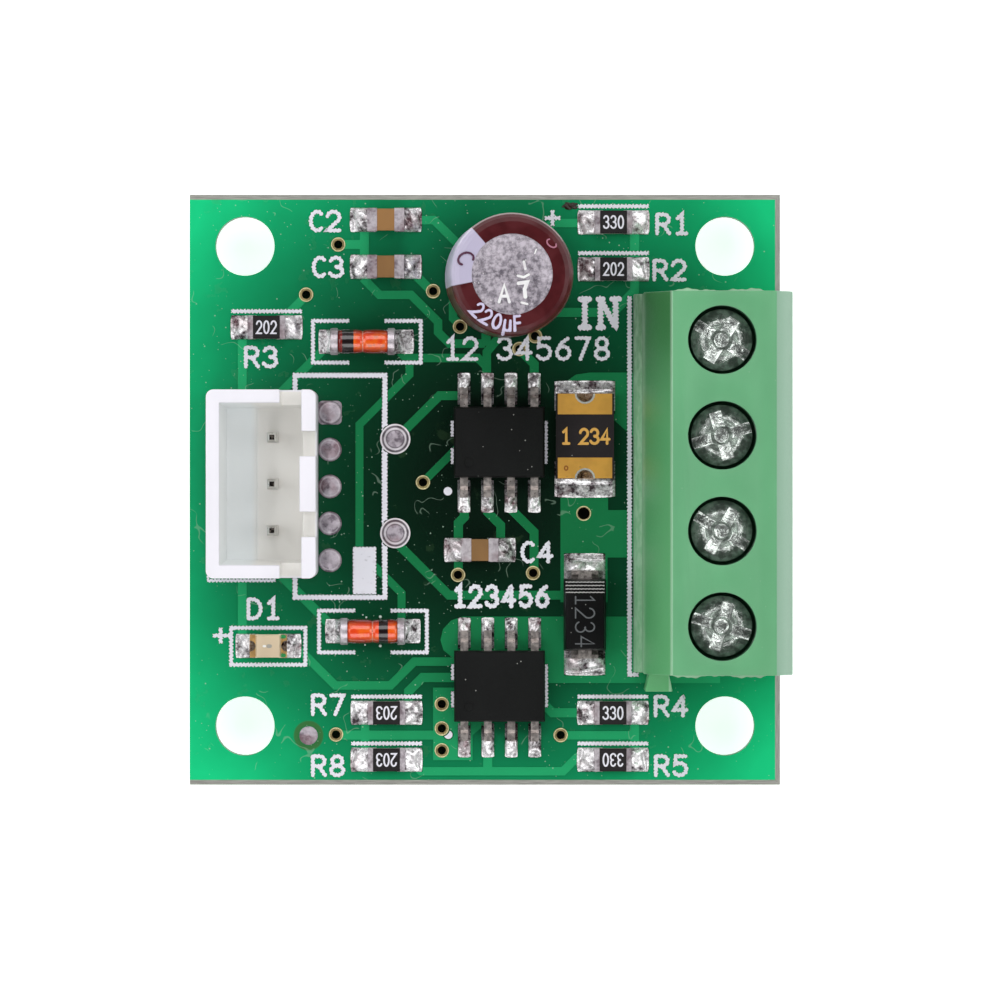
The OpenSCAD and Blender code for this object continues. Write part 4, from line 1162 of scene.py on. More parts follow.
@dataclass(frozen=True)
class Lettering:
    """A line of stroked letters: sizes in millimetres, and how much the print's edge ripples."""

    height: float
    weight: float
    width: float = 1.0
    gap: float = 0.32
    ripple: float = 0.0
    pace: float = 0.05
    layer: float = 0.0015
    climb: float = 0.006

    def strokes(self, text: str) -> tuple[list[np.ndarray], float]:
        """Paths of the letters, from the line's left foot.

        Args:
            text: The characters.

        Returns:
            The paths, and the line's length.
        """
        paths, at = [], 0.0
        for mark in text:
            shapes = GLYPHS[mark]
            reach = max([p[0] for s in shapes for p in s], default=0.4)
            for shape in shapes:
                path = np.array(shape) * (self.height * self.width, self.height)
                kept = np.concatenate([[True], np.linalg.norm(np.diff(path, axis=0), axis=1) > 1e-6])
                paths.append(path[kept] + (at, 0))
            at += reach * self.height * self.width + self.gap * self.height
        return paths, at - self.gap * self.height

    def write(self, skin: Skin, text: str, place: Callable[[np.ndarray], np.ndarray], thick: float) -> None:
        """Adds each stroke as a flat ribbon with round ends, each a hair thicker than the last.

        The line is centred on its place.

        Args:
            skin: The mesh that takes the strokes.
            text: The characters.
            place: Moves flat points with height onto the piece.
            thick: Thickness of the ink.
        """
        paths, length = self.strokes(text)
        for k, path in enumerate(paths):
            path = path - (length / 2, self.height / 2)
            skin.tube(place(self.ribbon(path, thick + self.layer * (k % 6))))

    def walked(self, path: np.ndarray) -> np.ndarray:
        """The path with its points at most a pace apart.

        Args:
            path: The path's points.

        Returns:
            The points with more between them.
        """
        parts = [path[:1]]
        for start, end in zip(path[:-1], path[1:]):
            count = max(1, math.ceil(np.linalg.norm(end - start) / self.pace))
            parts.append(start + (end - start) * (np.arange(1, count + 1) / count)[:, None])
        return np.concatenate(parts)

    def edge(self, path: np.ndarray, phase: float) -> np.ndarray:
        """Half-width at each point of a path, as a share of the weight's half.

        With s the distance along the path it is
        1 + ripple * (sin(2 pi s / 0.2 + p) + 0.6 sin(2 pi s / 0.13 + 2.1 p)).

        Args:
            path: The path's points.
            phase: Shift p of the ripple.

        Returns:
            One share a point.
        """
        s = np.concatenate([[0], np.cumsum(np.linalg.norm(np.diff(path, axis=0), axis=1))])
        turn = 2 * np.pi * s
        return 1 + self.ripple * (np.sin(turn / 0.2 + phase) + 0.6 * np.sin(turn / 0.13 + 2.1 * phase))

    def ribbon(self, path: np.ndarray, thick: float) -> np.ndarray:
        """Rings of four points along a path, round at both ends, that climb a hair so that no tops meet.

        The half-width at distance s past a path's end is the circle's, r * sin(a), with s = -r * cos(a).

        Args:
            path: The path's points.
            thick: Height of the ribbon's top at its start.

        Returns:
            Array of rings, four points and coordinates.
        """
        path = self.walked(path) if self.ripple else path
        r = self.weight / 2
        step = np.diff(path, axis=0)
        step /= np.linalg.norm(step, axis=1)[:, None]
        ahead = np.concatenate([step, step[-1:]])
        behind = np.concatenate([step[:1], step])
        side = (ahead + behind) / (1 + (ahead * behind).sum(1))[:, None].clip(0.35)
        side = np.stack([-side[:, 1], side[:, 0]], 1)
        cap = np.radians([15, 40, 65])
        head = path[0] - step[0] * (r * np.cos(cap))[:, None]
        foot = path[-1] + step[-1] * (r * np.cos(cap))[::-1, None]
        sides = np.concatenate([np.sin(cap)[:, None] * left_of(step[0]), side,
                                np.sin(cap)[::-1, None] * left_of(step[-1])])
        line = np.concatenate([head, path, foot])
        phase = 7 * float(path[0].sum())
        wide = [np.concatenate([np.ones(3), self.edge(path, phase + k), np.ones(3)])[:, None] for k in (0, 2)]
        left, right = line + sides * r * wide[0], line - sides * r * wide[1]
        low = np.zeros((len(line), 1))
        high = thick + self.climb * np.linspace(0, 1, len(line))[:, None]
        return np.stack([np.hstack([left, high]), np.hstack([right, high]), np.hstack([right, low]),
                         np.hstack([left, low])], 1)


def flat_at(x: float, y: float, z: float, turn: float = 0.0) -> Callable[[np.ndarray], np.ndarray]:
    """Puts flat points at a place, turned about +Z by degrees.

    Args:
        x: Place along X.
        y: Place along Y.
        z: Height.
        turn: Turn in degrees.

    Returns:
        A function that moves an array of points.
    """
    c, s = math.cos(math.radians(turn)), math.sin(math.radians(turn))
    spin = np.array([[c, -s, 0], [s, c, 0], [0, 0, 1]])
    return lambda points: points @ spin.T + (x, y, z)


# Finishes

# MASK and COPPER colours are the lighter rim green, a painted sheen; their painted shade darkens the board's
# middle
MASK = MaskFinish("mask_green", "mask", srgb(26, 208, 134), coat=0.1, gloss=0.2)
COPPER = CopperFinish("mask_over_copper", "mask_on_copper", srgb(54, 224, 150), coat=0.1, gloss=0.2)
RING = PlatedFinish("ring_gold", "plating", srgb(176, 158, 108), rough=0.4, metal=0.6, low=0.6, mottle=4)
# painted highlight: the rim is the ring's own gold, painted lighter
RIM_HIGHLIGHT = PlatedFinish("rim_gold", "plating", srgb(238, 226, 178), rough=0.35, metal=0.6, low=0.85)
INK = InkFinish("legend_ink", "ink", srgb(230, 229, 238), rough=0.6, relief=0.008)
# SOLDER, FILLED and CHIP_END carry SolderFinish's painted highlights on crests and painted shade in hollows
SOLDER = SolderFinish("solder_bright", "solder", srgb(252, 250, 252), rough=0.28, metal=0.5, relief=0.06)
FILLED = PlugFinish("solder_filled", "solder", srgb(182, 173, 182), rough=0.45, metal=0.6, relief=0.03,
                    dark=srgb(104, 94, 104), pepper=5)
FLUX = Finish("burnt_flux", "solder", srgb(40, 25, 16), rough=0.35, relief=0.02, grain=4)
GREEN = BlockFinish("terminal_green", "terminal_plastic", srgb(98, 170, 120), rough=0.42, grain=6, relief=0.006,
                    spread=0.05)
FLASH = MouldFinish("terminal_flash", "terminal_plastic", srgb(158, 202, 166), rough=0.5, relief=0.01)
ZINC = PlatedFinish("screw_zinc", "terminal_steel", srgb(232, 240, 234), rough=0.22, metal=0.9, relief=0.035,
                    lines=(1, 1, 1), mottle=2.2, low=0.38)
TIN = PlatedFinish("lead_tin", "lead_tin", srgb(208, 198, 194), rough=0.3, metal=0.7, relief=0.012,
                   mottle=3.5, low=0.5)
CONTACT = PlatedFinish("contact_tin", "contact_tin", srgb(200, 198, 196), rough=0.35, metal=1.0, relief=0.008)
WHITE = NylonFinish("header_white", "header_plastic", srgb(244, 242, 250), rough=0.45, grain=5, relief=0.004,
                    spread=0.02)
PIN = PinFinish("pin_tin", "pin_tin", srgb(226, 224, 220), rough=0.3, metal=0.8)
SLEEVE = SleeveFinish("sleeve_brown", "sleeve", srgb(73, 22, 26), rough=0.3, coat=0.12, gloss=0.15)
CAN = CanFinish("can_aluminium", "can_metal", srgb(206, 198, 208), rough=0.5, metal=0.55, relief=0.03)
# painted highlight: the pressed marks are the can's aluminium, painted near-white
MARK_HIGHLIGHT = Finish("can_marks", "can_metal", srgb(250, 247, 250), rough=0.4, metal=0.2)
STRIPE_INK = InkFinish("stripe_ink", "sleeve", srgb(78, 30, 62), rough=0.5)
RIM_INK = InkFinish("sleeve_ink", "sleeve", srgb(206, 198, 226), rough=0.5)
PALE_INK = InkFinish("sleeve_pale_ink", "sleeve", srgb(176, 112, 132), rough=0.5)
RUBBER = Finish("seal_rubber", "seal_rubber", srgb(40, 38, 38), rough=0.8)
PAPER = Finish("winding_paper", "winding", srgb(150, 128, 96), rough=0.8)
EPOXY = MouldFinish("chip_epoxy", "chip_black", srgb(19, 20, 20), rough=0.6, gloss=0.12, grain=9,
                    relief=0.012, dust=0.6)
BLACK = MouldFinish("rectifier_epoxy", "rectifier_black", srgb(11, 11, 12), rough=0.4, gloss=0.1, grain=9,
                    relief=0.006, dust=0.4)
FUSE = MouldFinish("fuse_laminate", "fuse_laminate", srgb(36, 31, 33), rough=0.6, gloss=0.15, grain=7,
                   relief=0.015, spread=0.25, dust=0.5)
GOLD = PlatedFinish("fuse_gold", "fuse_gold", srgb(214, 158, 62), rough=0.45, metal=0.2, relief=0.01, low=0.88)
NOTCH = PlatedFinish("notch_rim", "fuse_gold", srgb(206, 208, 202), rough=0.4, metal=0.6)
SILICON = Finish("silicon", "silicon", srgb(90, 88, 94), rough=0.2)
LED_BASE = MouldFinish("led_laminate", "led_laminate", srgb(236, 228, 196), rough=0.5)
LED_LENS = MouldFinish("led_resin", "led_resin", srgb(218, 198, 168), rough=0.25, grain=3, spread=0.12)
LED_GOLD = PlatedFinish("led_gold", "led_gold", srgb(222, 178, 112), rough=0.4, metal=0.5, mottle=3, low=0.7)
LED_SPOT = Finish("led_die", "led_resin", srgb(255, 250, 240), rough=0.3)
LED_BOND = Finish("led_bond", "led_resin", srgb(160, 156, 146), rough=0.5)
LED_MARK = InkFinish("led_green", "led_resin", srgb(28, 150, 78), rough=0.5)
GLAZE = ResistorFinish("resistor_glaze", "resistor_body", srgb(32, 29, 30), rough=0.35, gloss=0.35,
                       grain=7, dust=0.1)
CHIP_END = SolderFinish("chip_end_tin", "chip_end", srgb(214, 206, 212), rough=0.35, metal=0.5, relief=0.03,
                        dark=srgb(140, 126, 134), film_z=0.0)
CERAMIC = MouldFinish("ceramic_brown", "ceramic", srgb(142, 102, 54), rough=0.45, grain=6, spread=0.2)
GLASS = GlassFinish("diode_glass", "diode_glass", srgb(238, 72, 26), rough=0.1, coat=0.7, relief=0.02)
# painted highlight: clear beads given a near-white colour
HIGHLIGHT_BEAD = Finish("flux_bead", "solder", srgb(226, 244, 232), rough=0.25, coat=0.5)
TEXT_GOLD = InkFinish("marking_gold", "fuse_gold", srgb(228, 172, 80), rough=0.5)
TEXT_GREY = InkFinish("marking_grey", "rectifier_black", srgb(92, 94, 98), rough=0.6)
LINES = InkFinish("cathode_lines", "rectifier_black", srgb(176, 172, 172), rough=0.6)


# Sub-assemblies


@dataclass
class Board:
    """The printed board with its films, rims and lettering."""

    frame: Frame
    top: float = BOARD_TOP
    ink: float = 0.065
    ripple: float = 0.24
    inset: float = 0.06
    words: tuple[tuple[str, float, float, float, float, float], ...] = (
        ("C2", -8.66, 14.36, 1.02, 0.2, 1.07),
        ("C3", -8.5, 11.87, 1.02, 0.2, 1.07),
        ("R3", -12.13, 6.99, 1.03, 0.2, 1.07),
        ("R1", 10.12, 14.2, 1.03, 0.2, 1.07),
        ("R2", 10.0, 11.7, 1.03, 0.2, 1.07),
        ("C4", 2.82, -3.58, 1.03, 0.2, 1.07),
        ("D1", -12.02, -6.65, 1.03, 0.2, 1.07),
        ("R7", -8.5, -11.85, 1.03, 0.2, 1.07),
        ("R8", -8.5, -15.15, 1.03, 0.2, 1.07),
        ("R4", 10.08, -11.92, 1.03, 0.2, 1.07),
        ("R5", 10.08, -15.15, 1.03, 0.2, 1.07),
        ("IN", 6.22, 9.36, 1.54, 0.3, 0.78),
        ("12 345678", 2.28, 7.45, 1.14, 0.19, 1.0),
        ("123456", 0.87, -5.97, 1.08, 0.23, 0.86),
    )
    rim: tuple[tuple[float, float], ...] = ((-0.07, -0.02), (-0.05, 0.015), (-0.02, 0.02), (0.005, -0.02))
    upright: float = 0.3
    level: float = 0.9
    shortest: float = 0.15
    stain: tuple[float, float, float, float] = (4.6, 15.17, 0.42, 0.2)

    def build(self) -> None:
        """Dresses the films and writes the legend."""
        self.frame.dress(MASK, "board")
        self.frame.dress(COPPER, "top_tracks")
        self.frame.dress(RING, "via_eyelets")
        self.write()
        self.fray()
        self.rims()
        self.burn()

    def write(self) -> None:
        """Writes the legend's words with the ragged edge of screen print."""
        skin = Skin()
        for text, x, y, height, weight, width in self.words:
            letters = Lettering(height, weight, width, ripple=self.ripple)
            letters.write(skin, text, flat_at(x, y, self.top), self.ink)
        skin.piece("legend_letters", INK, smooth=False)

    def inward(self, vert: bmesh.types.BMVert) -> Vector:
        """Step of a corner that moves the side faces at it in by the inset.

        For the normals a and b of the two side faces it is -inset * (a + b) / (1 + a . b).

        Args:
            vert: The corner.

        Returns:
            The step in metres.
        """
        sides = [face.normal for face in vert.link_faces if abs(face.normal.z) < self.upright]
        if not sides:
            return Vector((0, 0, 0))
        far = min(sides, key=lambda normal: normal.dot(sides[0]))
        return (sides[0] + far) * (-self.inset * MM / max(0.4, 1 + sides[0].dot(far)))

    def fray(self) -> None:
        """Draws the legend's bars and frames in slightly and lines their edges with a rippled bead of ink."""
        mesh = self.frame.nodes["legend"].data.copy()
        work = bmesh.new()
        work.from_mesh(mesh)
        bmesh.ops.remove_doubles(work, verts=work.verts, dist=WELD)
        bmesh.ops.recalc_face_normals(work, faces=work.faces)
        for vert, step in [(vert, self.inward(vert)) for vert in work.verts]:
            vert.co += step
        work.to_mesh(mesh)
        work.normal_update()
        bmesh.ops.dissolve_limit(work, angle_limit=CREASE, verts=work.verts, edges=work.edges)
        bead = Lettering(1.0, 0.075, ripple=0.8, pace=0.035, climb=0.0005)
        high = corners_of("legend")[1][2] - self.top
        skin = Skin()
        for k, edge in enumerate(work.edges):
            tilts = sorted(abs(face.normal.z) for face in edge.link_faces)
            path = np.array([vert.co[:] for vert in edge.verts]) / MM
            long = float(np.linalg.norm(path[1] - path[0])) > self.shortest
            upper = path[:, 2].min() > self.top + 0.01
            if len(tilts) == 2 and tilts[0] < self.upright and tilts[1] > self.level and upper and long:
                skin.tube(flat_at(0, 0, self.top)(bead.ribbon(path[:, :2], high + 0.004 + 0.0008 * (k % 5))))
        work.free()
        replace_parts(settle(bpy.data.objects.new("legend_print", mesh), INK), "legend")
        skin.piece("legend_fray", INK, smooth=False)

    def rims(self) -> None:
        """Lays a raised rim round each bare ring, in a lighter gold than the ring: a painted highlight along
        its edge.
        """
        turn = np.linspace(0, 2 * np.pi, 40, endpoint=False)
        skin = Skin()
        for points in islands(self.frame.nodes["via_eyelets"].data):
            low, high = points.min(0), points.max(0)
            middle, r, z = (low + high) / 2, (high - low)[:2].max() / 2, high[2]
            section = [(r + out, z + up) for out, up in self.rim]
            skin.loop(np.stack([np.stack([middle[0] + a * np.cos(turn), middle[1] + a * np.sin(turn),
                                          np.full_like(turn, h)], -1) for a, h in section]))
        skin.piece("via_rims", RIM_HIGHLIGHT)

    def burn(self) -> None:
        """Leaves the dark lump of burnt flux by the top edge."""
        x, y, rx, ry = self.stain
        u, v = np.meshgrid(np.linspace(-1, 1, 25), np.linspace(-1, 1, 15), indexing="ij")
        around = np.arctan2(v, u)
        far = np.sqrt(u ** 2 + v ** 2) * (1 + 0.25 * np.sin(5 * around + 1) + 0.15 * np.sin(9 * around))
        z = self.top + 0.13 * np.clip(1 - far ** 2, 0, 1) ** 0.5 * (0.75 + 0.25 * np.sin(9 * u + 4 * v)) - 0.004
        skin = Skin()
        skin.mound(np.stack([x + rx * u, y + ry * v, z], -1), self.top - 0.01)
        skin.piece("flux_mark", FLUX)


@dataclass
class SolderJoints:
    """Frozen solder on the surface parts' pads: a fillet against each part and a film out to the tip."""

    frame: Frame
    top: float = BOARD_TOP
    film: float = 0.08
    pad_len: float = 3.9
    pad_w: float = 1.3
    chip_pads: tuple[float, float] = (2.35, -10.91)
    chip_tip: float = 3.79
    chip_pad_w: float = 0.68
    fuse_pads: tuple[float, float] = (2.54, 3.17)
    diode_pads: tuple[float, float] = (-6.43, -6.07)
    part_ends: tuple[float, float] = (0.55, 1.0)
    led_tip: float = 1.78
    diode_ends: tuple[float, float, float] = (1.28, 1.76, 2.58)
    fuse_ends: tuple[float, float, float] = (1.37, 2.29, 3.28)
    rectifier_ends: tuple[float, float, float, float] = (1.25, 2.37, 3.31, 2.23)
    lead_ends: tuple[float, float] = (2.04, 2.94)
    lead_pitch: float = 1.27
    resistor_rise: float = 0.66
    ceramic_rise: float = 0.58
    part_run: float = 0.88
    led_fillet: tuple[float, float] = (0.24, 0.7)
    diode_fillet: tuple[float, float] = (0.85, 0.42)
    fuse_fillet: tuple[float, float] = (0.1, 0.3)
    rectifier_fillet: tuple[float, float] = (0.55, 0.75)
    lead_fillet: tuple[float, float] = (0.24, 0.85)
    seed: float = 0.3

    def joint(self, skin: Skin, at: np.ndarray, turn: float, inner: float, end: float, outer: float, w: float,
              rise: float, run: float) -> None:
        """Adds one joint.

        With u from the part's end (0) to the pad's tip (1) and v across the pad, its height above the pad is
        rise * (1 - (u / run)^2)^0.6 * (1 - |v|^3)^0.7. Lumps on it differ from joint to joint, and a low bead
        runs round the pad's rim.

        Args:
            skin: The mesh that takes the joint.
            at: Middle of the part.
            turn: Direction of the joint in degrees.
            inner: Inner end of the pad.
            end: End of the part.
            outer: Tip of the pad.
            w: Width of the pad.
            rise: Height of the fillet against the part.
            run: Share of the pad's free end that the fillet covers.
        """
        self.seed += 1.7
        seed = self.seed
        u = np.concatenate([[-(end - inner) / (outer - end), -0.02], np.linspace(0, 1, 21)])[:, None]
        v = np.linspace(-1, 1, 19)[None, :]
        reach = run * (0.9 + 0.14 * np.cos(2.2 * v + seed))
        across = np.clip(1 - np.abs(v) ** 3, 0, 1) ** 0.7
        body = np.clip(1 - np.clip(u / reach, 0, 1) ** 2, 0, 1) ** 0.6 * across
        lumps = 0.16 * np.sin(3.1 * u + seed) * np.cos(2.3 * v + 2 * seed) + 0.1 * np.sin(7 * u + 5 * v + seed)
        rim = np.exp(-((1 - np.abs(v)) / 0.07) ** 2) + np.exp(-((1 - np.clip(u, 0, 1)) / 0.06) ** 2)
        low = 0.012 * np.sin(9 * u + 3 * seed) * np.sin(6 * v + seed)
        z = self.film * 0.6 + low + 0.03 * rim.clip(0, 1) + rise * body * (0.9 + lumps) * (u >= 0)
        x = end + u * (outer - end) + 0 * v
        y = 0 * u + v * w / 2
        corner = 1 - 0.06 * (np.clip(u, 0, 1) ** 4) * (v ** 4)
        x = np.where(u > 0, end + (x - end) * corner, x)
        points = np.stack([x, y, z + self.top], -1)
        skin.mound(flat_at(at[0], at[1], 0, turn)(points), self.top)

    def build(self) -> None:
        """Places a joint at every end and lead."""
        skin = Skin()
        self.two_ended(skin)
        self.long_parts(skin)
        self.leads(skin)
        made = skin.piece("solder_joints", SOLDER)
        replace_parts(made, "smd_solder")
        self.frame.dress(SOLDER, "pin_solder")
        self.frame.dress(FILLED, "filled_holes")

    def two_ended(self, skin: Skin) -> None:
        """Joints of the chip parts, the indicator and the glass diodes.

        Args:
            skin: The mesh that takes the joints.
        """
        parts = [(f"resistor_{i}_body", self.resistor_rise) for i in range(1, 8)]
        parts += [(f"ceramic_{i}_body", self.ceramic_rise) for i in range(1, 4)]
        for name, share in parts:
            low, high = corners_of(name)
            for turn in (0, 180):
                self.joint(skin, centre_of(name), turn, *self.part_ends, self.pad_len / 2, self.pad_w,
                           (high[2] - low[2]) * share, self.part_run)
        for turn in (0, 180):
            self.joint(skin, centre_of("led_base"), turn, *self.part_ends, self.led_tip, self.pad_w,
                       *self.led_fillet)
        inner, end, tip = self.diode_ends
        for name, pads in zip(("diode_1_caps", "diode_2_caps"), self.diode_pads):
            at = centre_of(name)
            for turn, sign in ((0, 1), (180, -1)):
                outer = tip + sign * (pads - at[0])
                self.joint(skin, at, turn, inner, end, outer, self.pad_w, *self.diode_fillet)

    def long_parts(self, skin: Skin) -> None:
        """Joints of the fuse and the rectifier, which lie along Y.

        Args:
            skin: The mesh that takes the joints.
        """
        at = centre_of("fuse_body")
        middle, half = self.fuse_pads
        inner, end, width = self.fuse_ends
        for turn, sign in ((90, 1), (270, -1)):
            self.joint(skin, at, turn, inner, end, half + sign * (middle - at[1]), width, *self.fuse_fillet)
            self.joint(skin, centre_of("rectifier_body"), turn, *self.rectifier_ends, *self.rectifier_fillet)

    def leads(self, skin: Skin) -> None:
        """Joints of the eight-lead chips.

        Args:
            skin: The mesh that takes the joints.
        """
        for name, pads in zip(("chip_1_body", "chip_2_body"), self.chip_pads):
            at = centre_of(name)
            for turn, sign in ((90, 1), (270, -1)):
                tip = self.chip_tip + sign * (pads - at[1])
                for i in range(4):
                    spot = at + np.array([(i - 1.5) * self.lead_pitch, 0, 0])
                    self.joint(skin, spot, turn, *self.lead_ends, tip, self.chip_pad_w, *self.lead_fillet)


@dataclass
class ScrewTerminal:
    """The green terminal block with its screws, clamps and contacts."""

    frame: Frame
    middle_y: float = 0.15
    ragged: float = 0.1
    flash_drop: float = 0.35
    flash_x: tuple[float, float] = (9.95, 15.0)

    def build(self) -> None:
        """Eases the moulding and the screws, dresses the rest and adds the moulding's ragged ends."""
        self.frame.ease("terminal_housing", GREEN, 0.1)
        for i in range(1, 5):
            self.frame.ease(f"terminal_screw_{i}", ZINC, 0.05, f"clamp_screw_{i}")
            self.frame.dress(ZINC, f"terminal_cage_{i}")
        self.frame.dress(CONTACT, "terminal_contacts")
        high = corners_of("terminal_housing")[1]
        skin = Skin()
        for wall, way in ((high[1], 1), (2 * self.middle_y - high[1], -1)):
            self.flash(skin, wall, way, high[2] - self.flash_drop)
        skin.piece("terminal_flash", FLASH)

    def flash(self, skin: Skin, wall: float, way: int, z: float) -> None:
        """Adds the torn skin along one end wall.

        Its reach past the wall at x is ragged * (0.6 + 0.5 sin(1.9 x) + 0.35 sin(5.3 x + way)
        + 0.2 sin(13 x)), never below a hair.

        Args:
            skin: The mesh that takes it.
            wall: The end wall's place along Y.
            way: 1 where it reaches along +Y, -1 along -Y.
            z: Height of its upper side.
        """
        x = np.linspace(*self.flash_x, 90)
        waves = 0.6 + 0.5 * np.sin(1.9 * x) + 0.35 * np.sin(5.3 * x + way) + 0.2 * np.sin(13 * x)
        ends = np.clip(np.minimum(x - x[0], x[-1] - x) / 0.3, 0, 1)
        reach = np.clip(self.ragged * waves, 0.015, None) * ends + 0.004
        inner, outer = np.full_like(x, wall - way * 0.2), wall + way * reach
        section = [(inner, z), (outer, z - 0.02), (outer, z - 0.1), (inner, z - 0.14)]
        skin.tube(np.stack([np.stack([x, y, np.full_like(x, h)], -1) for y, h in section], 1))


@dataclass
class PlugHeader:
    """The white header with its pins."""

    frame: Frame

    def build(self) -> None:
        """Eases the moulding and dresses the pins."""
        low, high = corners_of("header_housing")
        white = replace(WHITE, low=tuple(low[:2]), high=tuple(high[:2]), rim_z=high[2])
        self.frame.ease("header_housing", white, 0.08)
        self.frame.dress(replace(PIN, tip_z=corners_of("header_pins")[1][2]), "header_pins")


@dataclass
class CanCapacitor:
    """The leaning capacitor with its printed sleeve and the marks pressed into its top."""

    frame: Frame
    radius: float = 3.15
    height: float = 11.34
    sleeve: float = 0.12
    edge_r: float = 2.62
    value: str = "220uF"
    strokes: tuple[tuple[tuple[tuple[float, float], ...], float], ...] = (
        (((0.62, 0.66), (0.7, 0.28)), 0.14),
        (((0.3, -0.08), (0.62, -0.16), (0.88, -0.02)), 0.13),
        (((0.34, -0.48), (0.8, -0.42), (0.66, -0.8), (0.7, -1.2)), 0.2),
        (((0.5, -1.5), (0.8, -1.58)), 0.12),
        (((1.2, 1.1), (1.28, 1.32)), 0.07),
    )

    def build(self) -> None:
        """Dresses the solids and writes on the sleeve's rim and the disc."""
        self.frame.dress(SLEEVE, "capacitor_sleeve")
        self.frame.dress(CAN, "capacitor_can")
        self.frame.dress(RUBBER, "capacitor_seal")
        self.frame.dress(PAPER, "capacitor_winding")
        self.frame.dress(TIN, "capacitor_leads")
        self.on_rim("sleeve_value", self.value, Lettering(0.76, 0.14, 0.82, 0.3, 0.05), -109.0, RIM_INK)
        self.on_rim("sleeve_polarity", "C", Lettering(0.85, 0.12, 1.1, 0.3, 0.05), 160.5, STRIPE_INK, 40)
        self.on_rim("sleeve_series", "C", Lettering(0.55, 0.08, 1.0, 0.3, 0.05), 38.0, PALE_INK, 285)
        self.stamp()

    def leaned(self, points: np.ndarray) -> np.ndarray:
        """Leans points of the upright can as the real one leans, and sets them on the board.

        Args:
            points: Points in the can's own upright frame.

        Returns:
            The points in the part's frame.
        """
        a, b = math.radians(SLEEVE.lean), math.radians(SLEEVE.lean_to)
        way = np.array([[math.cos(b), -math.sin(b), 0], [math.sin(b), math.cos(b), 0], [0, 0, 1]])
        tilt = np.array([[math.cos(a), 0, math.sin(a)], [0, 1, 0], [-math.sin(a), 0, math.cos(a)]])
        return points @ (way @ tilt @ way.T).T + SLEEVE.foot

    def rim_height(self, r: np.ndarray) -> np.ndarray:
        """Height of the sleeve's top at a distance from its axis: flat, then rolled down to the side.

        Args:
            r: Distances from the axis.

        Returns:
            The heights above the can's foot.
        """
        outer = self.radius + self.sleeve
        return self.height + self.sleeve - np.interp(r, [0, outer - 0.46, outer - 0.24, outer - 0.08, outer],
                                                     [0, 0, 0.06, 0.28, 0.62])

    def on_rim(self, name: str, text: str, letters: Lettering, angle: float, finish: Finish,
               roll: float = 0) -> None:
        """Writes on the rim, bent round the can's axis.

        Args:
            name: The piece's name.
            text: The characters.
            letters: Their size and weight.
            angle: Direction of the line's middle from the axis, in degrees.
            finish: The ink.
            roll: Turn of the letters in their own plane.
        """
        def bend(points: np.ndarray) -> np.ndarray:
            """Wraps flat points round the axis, tops towards it, and lays them on the rim.

            Args:
                points: Flat points with height.

            Returns:
                The points on the rim.
            """
            flat = flat_at(0, 0, 0, roll)(points)
            r = self.edge_r - flat[..., 1]
            turn = math.radians(angle) + flat[..., 0] / self.edge_r
            z = self.rim_height(r) + 0.025 + flat[..., 2]
            return self.leaned(np.stack([r * np.cos(turn), r * np.sin(turn), z], -1))

        skin = Skin()
        letters.write(skin, text, bend, 0.02)
        skin.piece(name, finish, smooth=False)

    def stamp(self) -> None:
        """Presses the disc's plain marks and score lines; their near-white colour is a painted highlight on the
        can's own metal.
        """
        skin = Skin()
        z = self.height - 0.04
        marks = Lettering(0.9, 0.16, 0.95)
        marks.write(skin, "A", lambda p: self.leaned(flat_at(-0.42, -1.02, z)(p)), 0.05)
        for path, weight in self.strokes:
            ring = Lettering(1.0, weight).ribbon(np.array(path), 0.045)
            skin.tube(self.leaned(flat_at(0, 0, z)(ring)))
        skin.piece("can_stamp", MARK_HIGHLIGHT, smooth=False)


